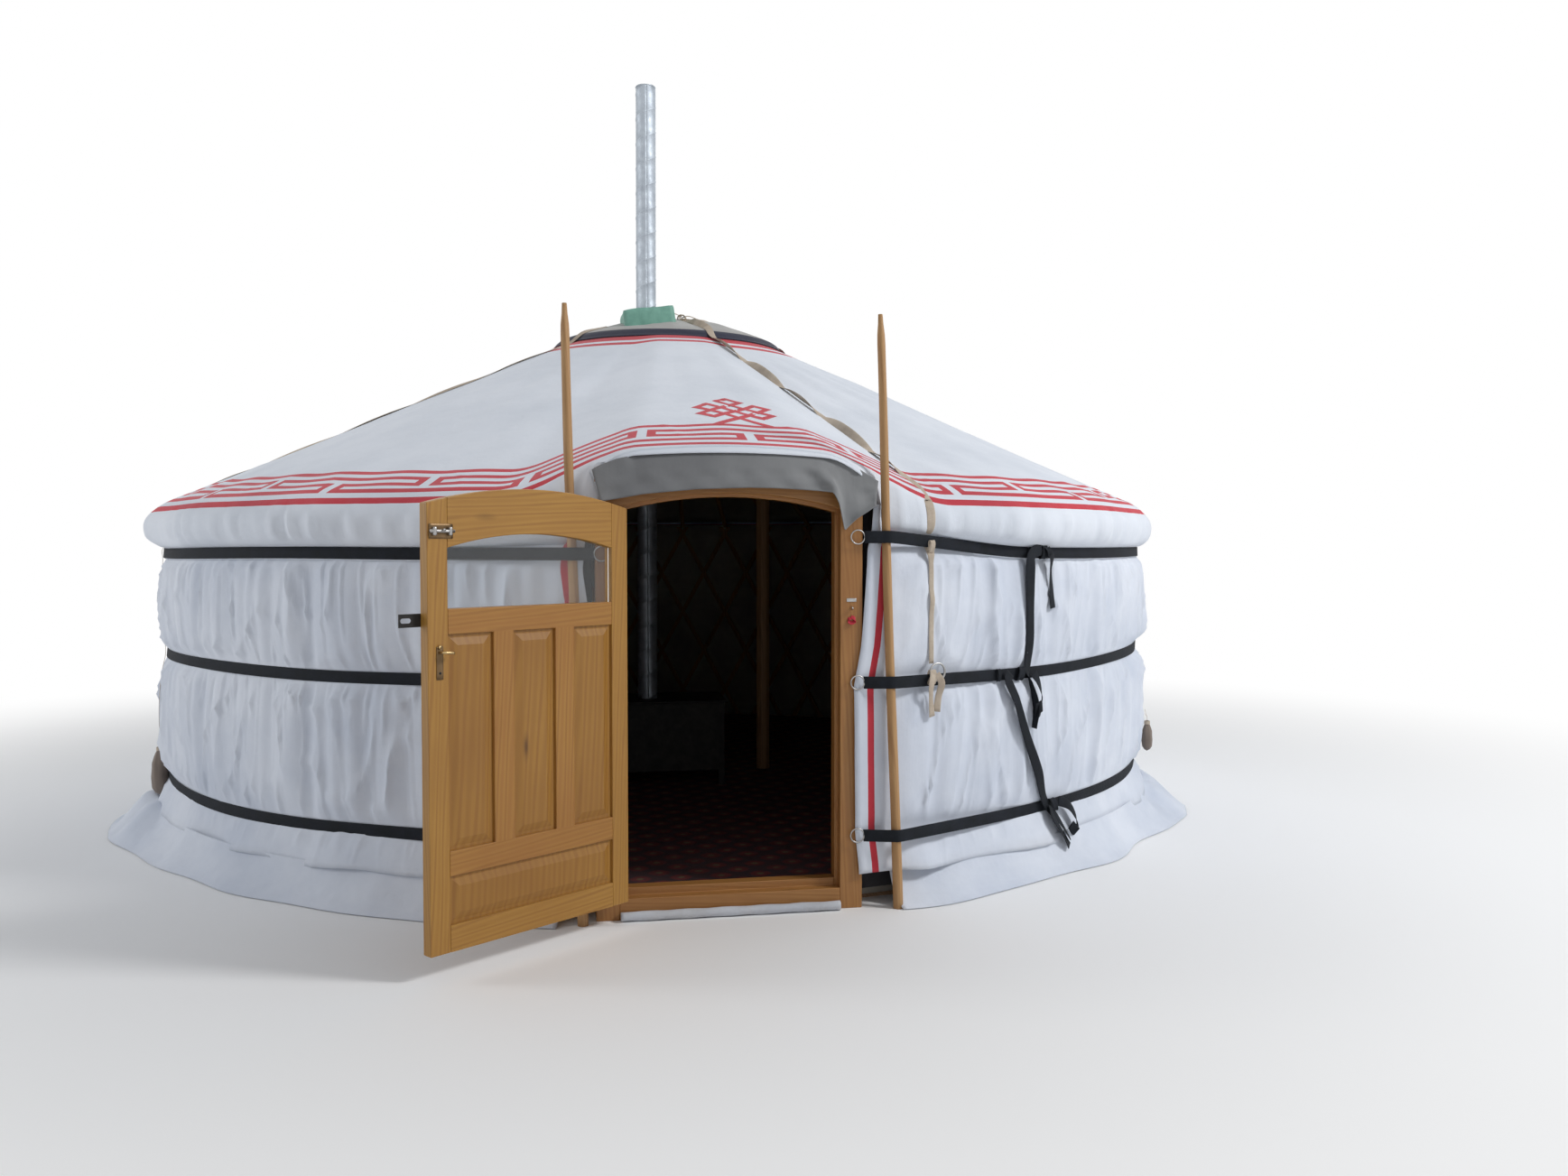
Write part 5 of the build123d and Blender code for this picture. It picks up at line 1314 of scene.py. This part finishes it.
def add_crown_knot():
    """Knot in which the strap over the door begins, with its loose ends lying over the box."""
    x, y = STRAP_KNOT
    turn = math.degrees(math.atan2(x, -y))
    top = float(crown_height(math.hypot(x, y), turn)) + 0.016
    turns = np.linspace(0, 2 * math.pi, 25)[:-1]
    for number, (along, across, half) in enumerate(((0.0, 0.0, 0.017), (0.014, 0.006, 0.013))):
        loop = (half * 1.3 * np.cos(turns), 0.006 * np.sin(2 * turns), half * np.sin(turns))
        line = np.array([x + across, y - along, top]) + np.stack(loop, axis=-1)
        ribbon(f"crown_knot_{number + 1}", line, same_way(line, 0.35, 1.0), 0.024, 0.003, *BEIGE_TAPE,
               closed=True)
    ends = (
        ((0, 0, 0.006), (-0.030, 0.002, 0.022), (-0.072, 0.010, 0.030), (-0.100, 0.016, 0.022)),
        ((0, 0, 0), (0.040, 0.012, 0.014), (0.090, 0.030, 0.004), (0.135, 0.046, -0.020)),
    )
    for number, path in enumerate(ends):
        line, _ = spline(np.array(path) + (x, y, top))
        ribbon(f"crown_knot_end_{number + 1}", line, same_way(line, y=1.0, z=0.4), 0.022, 0.002,
               *BEIGE_TAPE)


add_crown_knot()

# Fittings of the leaf and the staple, at the heights where the photograph has them
# From the hinge pins towards the inside: the leaf's inner face, and the hasp before its outer face
LEAF_INNER = 0.057
HASP_OFF = 0.0103
BOLT_LEVEL = 1.520
HANDLE_LEVEL = 1.078
HASP_LEVEL = 1.222
PLATE_THICK = 0.003
LEAF_FIT = ("bronze_fittings", "door_leaf")


def leaf_place(along, off, height):
    """Placement on the open leaf: along it from the hinge pins, off them to its inner side, and up."""
    pin = Matrix.Translation((*HINGE, 0.0)) @ Matrix.Rotation(-math.radians(DOOR_OPEN_ANGLE), 4, "Z")
    return pin @ Matrix.Translation((along, off, height))


def on_leaf(points):
    return [tuple(leaf_place(*point).translation) for point in points]


def rod(name, path, radius, material, slot, body):
    """Round bar along a bent path."""
    path = np.array(path, float)
    run = np.gradient(path, axis=0)
    run /= np.linalg.norm(run, axis=1, keepdims=True)
    first = np.cross(run, np.array([0.31, 0.17, 0.94]))
    first /= np.linalg.norm(first, axis=1, keepdims=True)
    second = np.cross(run, first)
    turns = np.linspace(0, 2 * math.pi, 15)[:-1, None]
    rim = first[:, None] * np.cos(turns) + second[:, None] * np.sin(turns)
    loops = (path[:, None] + radius * rim).reshape(-1, 3)
    faces = tube_faces(len(path), len(turns), flip=True)
    return finish_piece(mesh_piece(name, loops, faces, [material]), body)


def pin_off_leaf(name, along, offs, level, radius, material):
    """Short pin that stands off the leaf."""
    path = on_leaf([(along, LEAF_INNER + off, level) for off in offs])
    rod(name, path, radius, material, *LEAF_FIT)


def add_bolt():
    """Barrel bolt at the top of the leaf."""
    middle = 0.826
    rounded_box("bolt_plate", (0.092, PLATE_THICK, 0.050), 0.0014, bronze,
                leaf_place(middle, LEAF_INNER + 0.0016, BOLT_LEVEL), *LEAF_FIT, ("door_bolt",))
    bar = [(middle + along, LEAF_INNER + 0.011, BOLT_LEVEL) for along in (-0.046, -0.02, 0.02, 0.046)]
    rod("bolt_bar", on_leaf(bar), 0.0062, steel, *LEAF_FIT)
    for number, along in enumerate((-0.030, 0.030)):
        rounded_box(f"bolt_keeper_{number + 1}", (0.013, 0.017, 0.030), 0.005, steel,
                    leaf_place(middle + along, LEAF_INNER + 0.0105, BOLT_LEVEL), *LEAF_FIT)
    pin_off_leaf("bolt_knob", middle, (0.014, 0.020, 0.026), BOLT_LEVEL + 0.004, 0.0045, steel)


def add_handle():
    """Small lever over a long plate with a keyhole."""
    middle = 0.834
    top = HANDLE_LEVEL + 0.036
    rounded_box("handle_plate", (0.026, PLATE_THICK, 0.112), 0.0014, bronze,
                leaf_place(middle, LEAF_INNER + 0.0016, HANDLE_LEVEL), *LEAF_FIT, ("door_handle",))
    path = ((0, 0.002, 0), (0, 0.020, 0), (-0.004, 0.027, 0), (-0.020, 0.029, -0.001),
            (-0.038, 0.028, -0.003))
    bent, _ = spline(np.array(path) + (middle, LEAF_INNER, top), 0.004)
    rod("handle_lever", on_leaf(bent), 0.0048, brass, *LEAF_FIT)
    pin_off_leaf("handle_knob", middle + 0.002, (0.002, 0.006, 0.010), top + 0.018, 0.006, brass)
    pin_off_leaf("handle_keyhole", middle, (0.0020, 0.0030, 0.0038), HANDLE_LEVEL - 0.034, 0.0045, iron)


def slotted_plate(name, start, end, slot_start, slot_end, half_height, half_slot):
    """Flat bar along the leaf's outer face, with a round-ended slot near its free end."""
    turns = np.linspace(0, 2 * math.pi, 33)[:-1]
    slot_middle, slot_half = (slot_start + slot_end) / 2, (slot_end - slot_start) / 2 - half_slot
    left = slot_start - 0.012
    outer, hole = [], []
    for turn in turns:
        c, s = math.cos(turn), math.sin(turn)
        reach = 1 / max(abs(c), abs(s))
        outer.append(((left + end) / 2 + (end - left) / 2 * c * reach, half_height * s * reach))
        hole.append((slot_middle + math.copysign(slot_half, c) + half_slot * c, half_slot * s))
    tail_end = [(start, -half_height), (start, half_height)]
    spots = [(along, HASP_OFF, HASP_LEVEL + up) for along, up in outer + hole + tail_end]
    size = len(turns)
    faces = [(i, (i + 1) % size, size + (i + 1) % size, size + i) for i in range(size)]
    left_side = [i for i in range(size) if abs(outer[i][0] - left) < 1e-6]
    left_side.sort(key=lambda i: outer[i][1])
    faces.append((2 * size, *left_side, 2 * size + 1))
    piece = mesh_piece(name, on_leaf(spots), faces, [iron], shade_smooth=False)
    solid = piece.modifiers.new("thickness", "SOLIDIFY")
    solid.thickness = PLATE_THICK
    solid.offset = 0.0
    return finish_piece(piece, "door_leaf", ("door_hasp",))


def add_hasp():
    """Hasp, and on the jamb its staple under a small plate, with a red tag hanging at it."""
    slotted_plate("hasp_plate", 0.815, 0.958, 0.912, 0.952, 0.0225, 0.0085)
    x = 0.489
    rounded_box("staple_plate", (0.040, 0.0024, 0.014), 0.001, steel,
                Matrix.Translation((x, -(FRAME_FRONT + 0.0014), HASP_LEVEL + 0.032)),
                "steel_fittings", replaces=("latch_staple",))
    staple = np.array([x, -FRAME_FRONT, HASP_LEVEL])
    arc = ((0, 0.004, -0.0045), (0, -0.016, -0.0045), (0, -0.023, 0), (0, -0.016, 0.0045),
           (0, 0.004, 0.0045))
    bent, _ = spline(staple + arc, 0.004)
    rod("staple_wire", bent, 0.0028, steel, "steel_fittings", "tent")
    crumpled = ((-0.004, -0.004, -0.036), (0.010, -0.010, -0.042), (0.014, -0.006, -0.052),
                (-0.002, -0.008, -0.060), (-0.014, -0.005, -0.050), (-0.006, -0.006, -0.040))
    line, _ = spline(staple + crumpled, 0.004)
    ribbon("staple_tag", line, same_way(line, y=0.5, z=1.0), 0.016, 0.0015, red_cloth, "canvas")


add_bolt()
add_handle()
add_hasp()


# Hood over the door head
def add_hood():
    """Grey cloth: its top edge lies under the roof canvas, its right end is folded and hangs."""
    across = np.linspace(0, 1, 121)
    share = np.linspace(0, 1, 25)[:, None]
    x_low = -0.512 + 1.094 * across
    x_top = -0.545 + 1.143 * across
    low_x = (-0.512, -0.35, -0.15, 0.065, 0.22, 0.34, 0.395, 0.418, 0.447, 0.50, 0.582)
    low_z = (1.641, 1.670, 1.690, 1.698, 1.695, 1.688, 1.682, 1.640, 1.530, 1.580, 1.634)
    low_y = (-2.874, -2.894, -2.902, -2.906, -2.902, -2.898, -2.888, -2.876, -2.862, -2.868, -2.858)
    z_low = np.interp(x_low, low_x, low_z)
    y_low = np.interp(x_low, low_x, low_y)
    hem = np.interp(np.abs(x_top), (0, 0.20, 0.37, 0.45, 0.52, 0.60),
                    (1.842, 1.838, 1.824, 1.808, 1.780, 1.732))
    y_top = -np.maximum(np.sqrt(2.858**2 - x_top**2), 2.816)
    y_top = y_top + (-2.846 - y_top) * smooth((-x_top - 0.36) / 0.07)
    x = x_top + (x_low - x_top) * share
    z = hem + (z_low - hem) * share
    y = y_top + (y_low - y_top) * share ** (0.8 + 1.2 * smooth((np.abs(x_top) - 0.34) / 0.16))
    fold = np.exp(-(((x - 0.30 - 0.13 * share) / 0.035) ** 2))
    fold = fold - 0.6 * np.exp(-(((x - 0.245 - 0.13 * share) / 0.040) ** 2))
    slack = 0.006 * np.sin(across * 29 + share * 3.0) + 0.004 * np.sin(across * 53 - share * 6 + 1)
    slack = slack + 0.0030 * np.sin(share * 14 + across * 5)
    y = y - (0.014 * fold + slack * (0.5 + smooth((across - 0.55) / 0.3))) * smooth((share - 0.25) * 2)
    points = np.stack([x, np.minimum(y, -2.8145), z], axis=-1)
    piece = grid_piece("door_hood_cloth", points, [hood_cloth], thickness=CANVAS_THICK)
    finish_piece(piece, replaces=("door_hood",))


add_hood()


# Skirt on the ground
SKIRT_RADIUS = 2.836
SKIRT_LIMIT = 3.075


def add_skirt():
    """Loose cloth from under the wall canvas's hem, lying out on the ground in folds."""
    start = 13.5
    azimuth = np.linspace(start, 360 - start, 900)[None, :]
    share = np.linspace(0, 1, 26)[:, None]
    signed = np.where(azimuth > 180, azimuth - 360, azimuth)
    piled = np.exp(-(((signed - 64) / 9) ** 2)) + np.exp(-(((signed + 74) / 11) ** 2))
    piled = piled + 0.5 * np.exp(-(((signed - 180) / 18) ** 2))
    reach = 0.120 + 0.014 * ripples(azimuth, 0 * azimuth, 51, (6, 30), 0.0) + 0.120 * piled
    reach = np.clip(reach, 0.070, 0.240)
    folded = 0.6 * ripples(azimuth, share * 0.3, 52, (30, 80), 0.5)
    folded = folded + 0.8 * ripples(azimuth, share * 0.3, 55, (10, 26), 0.4)
    radius = SKIRT_RADIUS + reach * share**1.35
    height = 0.0035 + 0.158 * (1 - share) ** 1.5
    lift = (0.0035 + 0.024 * piled) * np.clip(folded + 0.9, 0, 2.6) * np.sin(math.pi * share**0.7)
    height = height + lift + 0.040 * piled * np.sin(math.pi * share**0.9) * (0.6 + 0.4 * np.sin(signed * 0.9))
    pleats = creases(azimuth, share * 2, 53, (50, 140), 0.8, 0.22)
    height = height + 0.004 * pleats * smooth(share * 3) * smooth((1 - share) * 5)
    radius = radius + 0.006 * folded * smooth(share * 2) * (1 - share) * (1 + 2 * piled)
    points = place(np.minimum(radius, SKIRT_LIMIT), azimuth, height)
    piece = grid_piece("skirt_canvas", points, [clean_canvas], thickness=0.0022)
    finish_piece(piece, replaces=("ground_skirt",))


add_skirt()


def add_sill_roll():
    """Rolled canvas along the foot of the sill."""
    along = np.linspace(-0.44, 0.44, 60)
    turns = np.linspace(0, 2 * math.pi * 1.75, 44)
    a = along[None, :]
    t = turns[:, None]
    radius = 0.0185 - 0.0055 * t / turns[-1] + 0.0012 * np.sin(a * 40 + t * 2)
    y = -(FRAME_FRONT + 0.0195) + radius * np.cos(t)
    z = 0.0195 + radius * np.sin(t) * 0.95
    z = np.maximum(z, 0.001)
    points = np.stack([a + 0.0 * t, y, z + 0.0 * a], axis=-1)
    piece = grid_piece("sill_cloth", points, [white_canvas], thickness=0.0015)
    finish_piece(piece, replaces=("sill_roll",))


add_sill_roll()


def add_weight(name, azimuth, tie_height, top, bottom, half_width):
    """Small sack that weighs down a strap's end, gathered into a neck under a white tie."""
    around, rows = 28, 22
    heights = np.linspace(0, 1, rows)[:, None]
    turn = np.linspace(0, 2 * math.pi, around + 1)[:-1][None, :]
    profile = np.interp(heights, (0, 0.05, 0.16, 0.34, 0.62, 0.86, 0.97, 1.0),
                        (0.16, 0.20, 0.52, 0.86, 1.0, 0.86, 0.46, 0.05)) * half_width
    gathers = 1 + 0.10 * np.cos(turn * 7 + heights * 2) * (1 - heights)
    gathers = gathers + 0.04 * np.cos(turn * 3 + heights * 9)
    radius = profile * gathers
    out = outward(azimuth)
    side = tangent(azimuth)
    stand = wall_radius(np.array([azimuth]), np.array([bottom + 0.1]))[0] + half_width * 0.72 + 0.004
    height = top + (bottom - top) * heights
    middle = out * stand
    points = middle + side * (radius * np.cos(turn))[..., None]
    points = points + out * (0.72 * radius * np.sin(turn))[..., None]
    points[..., 2] += height
    piece = grid_piece(name, points, [sack_cloth], closed=True)
    finish_piece(piece)
    turns = np.linspace(0, 2 * math.pi, 17)[:-1]
    neck = middle + side * (0.020 * np.cos(turns))[:, None] + out * (0.015 * np.sin(turns))[:, None]
    neck[:, 2] = top - 0.012
    ribbon(name + "_tie", neck, same_way(neck, z=1.0), 0.018, 0.002, *BEIGE_TAPE, closed=True)
    start = wall_spot([azimuth], [tie_height], 0.014)[0]
    path = [start, (start + middle + np.array([0, 0, top])) / 2, middle + np.array([0, 0, top + 0.02]),
            middle + np.array([0, 0, top - 0.02])]
    path[1][2] = (tie_height + top) / 2
    line, _ = spline(path)
    ribbon(name + "_cord", line, same_way(line, *side), 0.022, 0.002, *BEIGE_TAPE)


add_weight("weight_left", -73.2, 0.50, 0.435, 0.185, 0.058)
add_weight("weight_right", 63.5, 0.56, 0.500, 0.330, 0.042)

# Materials of the solids that stay, with the width of their rounded edges
for material, bevel, dressed in (
    (frame_wood_up, 0.003, ("door_jamb_left", "door_jamb_right")),
    (frame_wood_across, 0.003, ("door_sill", "door_head")),
    (leaf_wood_up, 0.003, ("door_stile_hinge", "door_stile_latch")),
    (leaf_wood_across, 0.003, ("door_top_rail", "door_bottom_rail")),
    (leaf_wood_inner, 0.003, ("door_middle_rails",)),
    (panel_wood, 0.0, ("door_panels",)),
    (glass, 0.0, ("door_glass",)),
    (bronze, 0.001, ("door_hinges", "frame_hinges")),
    (lattice_wood, 0.0, [f"lattice_{number}" for number in range(1, 6)]),
    (pole_wood, 0.0, ("roof_poles",)),
    (pole_wood, 0.003, ("crown_ring", "crown_hub", "crown_ribs", "crown_posts")),
    (floor_wood, 0.0, ("floor_deck",)),
    (rug_pile, 0.0, ("floor_rug",)),
    (iron, 0.004, ("stove",)),
):
    for node in dressed:
        dress(node, material, bevel)

# Stage, light and camera
WHITE_LIGHT = (1, 1, 1, 1)
SKY_LIGHT = (0.93, 0.96, 1.0, 1)
SKY_STRENGTH = 0.36
FLOOR_HALF = 60
FADE_FROM, FADE_TO = 3.3, 8.0
# Name, place, point aimed at, size and power
LAMPS = (
    ("key", (8.0, -6.5, 8.0), (0, 0, 1.0), 2.6, 640.0),
    ("fill", (-9.5, -1.5, 4.5), (0, 0, 1.0), 3.0, 170.0),
    ("back", (2.0, 9.0, 7.0), (0, 0, 1.4), 7.0, 240.0),
)
SENSOR_WIDTH = 36.0
FOCAL_PIXELS, PICTURE_PIXELS = 1350.0, 1737.0
CAMERA_SPOT = (-0.668, -7.592, 1.463)
CAMERA_DOWN, CAMERA_RIGHT = 1.87, 10.43


def seen_share(tree):
    """1 for the rays that show a surface: straight, mirrored or through glass."""
    path = tree.nodes.new("ShaderNodeLightPath")
    share = path.outputs["Is Camera Ray"]
    for kind in ("Is Glossy Ray", "Is Transmission Ray"):
        either = tree.nodes.new("ShaderNodeMath")
        either.operation = "MAXIMUM"
        tree.links.new(share, either.inputs[0])
        tree.links.new(path.outputs[kind], either.inputs[1])
        share = either.outputs[0]
    return share


def glow(tree, kind, colour, strength):
    """Background or emission of one colour."""
    node = tree.nodes.new(kind)
    node.inputs["Color"].default_value = colour
    node.inputs["Strength"].default_value = strength
    return node.outputs[0]


def blend_shaders(tree, share, first, second, out):
    """Sends a mixture of two shaders to an output node."""
    node = tree.nodes.new("ShaderNodeMixShader")
    tree.links.new(share, node.inputs["Fac"])
    tree.links.new(first, node.inputs[1])
    tree.links.new(second, node.inputs[2])
    tree.links.new(node.outputs[0], out.inputs["Surface"])


def fade_floor(ground):
    """Blends the floor to white away from the tent, for the rays that show it, so it has no edge."""
    tree = ground.node_tree
    shader = next(node for node in tree.nodes if node.type == "BSDF_PRINCIPLED")
    out = next(node for node in tree.nodes if node.type == "OUTPUT_MATERIAL")
    spot = tree.nodes.new("ShaderNodeTexCoord")
    length = tree.nodes.new("ShaderNodeVectorMath")
    length.operation = "LENGTH"
    tree.links.new(spot.outputs["Object"], length.inputs[0])
    spread = tree.nodes.new("ShaderNodeMapRange")
    spread.interpolation_type = "SMOOTHSTEP"
    spread.inputs["From Min"].default_value = FADE_FROM
    spread.inputs["From Max"].default_value = FADE_TO
    tree.links.new(length.outputs["Value"], spread.inputs["Value"])
    amount = tree.nodes.new("ShaderNodeMath")
    amount.operation = "MULTIPLY"
    tree.links.new(seen_share(tree), amount.inputs[0])
    tree.links.new(spread.outputs["Result"], amount.inputs[1])
    white = glow(tree, "ShaderNodeEmission", WHITE_LIGHT, 1.0)
    blend_shaders(tree, amount.outputs[0], shader.outputs[0], white, out)


def add_world():
    """Soft light from all sides, seen as pure white."""
    world = bpy.data.worlds.new("studio")
    bpy.context.scene.world = world
    world.use_nodes = True
    tree = world.node_tree
    tree.nodes.clear()
    out = tree.nodes.new("ShaderNodeOutputWorld")
    lit = glow(tree, "ShaderNodeBackground", SKY_LIGHT, SKY_STRENGTH)
    seen = glow(tree, "ShaderNodeBackground", WHITE_LIGHT, 1.0)
    blend_shaders(tree, seen_share(tree), lit, seen, out)


def add_stage():
    """World, floor, three lamps and the photograph's camera."""
    add_world()
    ground = new_material("studio_floor", (0.93, 0.93, 0.93), 0.9)
    fade_floor(ground)
    corners = [(x * FLOOR_HALF, y * FLOOR_HALF, 0) for x, y in ((-1, -1), (1, -1), (1, 1), (-1, 1))]
    floor = mesh_piece("studio_floor", corners, [(0, 1, 2, 3)], [ground])
    for name, spot, aim, size, power in LAMPS:
        lamp = bpy.data.lights.new(name, "AREA")
        lamp.shape = "DISK"
        lamp.size = size
        lamp.energy = power
        light = bpy.data.objects.new(name, lamp)
        light.location = spot
        light.rotation_euler = (Vector(aim) - Vector(spot)).to_track_quat("-Z", "Y").to_euler()
        bpy.context.scene.collection.objects.link(light)
    lens = bpy.data.cameras.new("photo_camera")
    lens.sensor_width = SENSOR_WIDTH
    lens.lens = SENSOR_WIDTH * FOCAL_PIXELS / PICTURE_PIXELS
    lens.clip_end = 400.0
    camera = bpy.data.objects.new("photo_camera", lens)
    camera.location = CAMERA_SPOT
    camera.rotation_euler = (math.radians(90 - CAMERA_DOWN), 0, -math.radians(CAMERA_RIGHT))
    bpy.context.scene.collection.objects.link(camera)
    bpy.context.scene.camera = camera
    bpy.context.scene.view_settings.view_transform = "Standard"


add_stage()
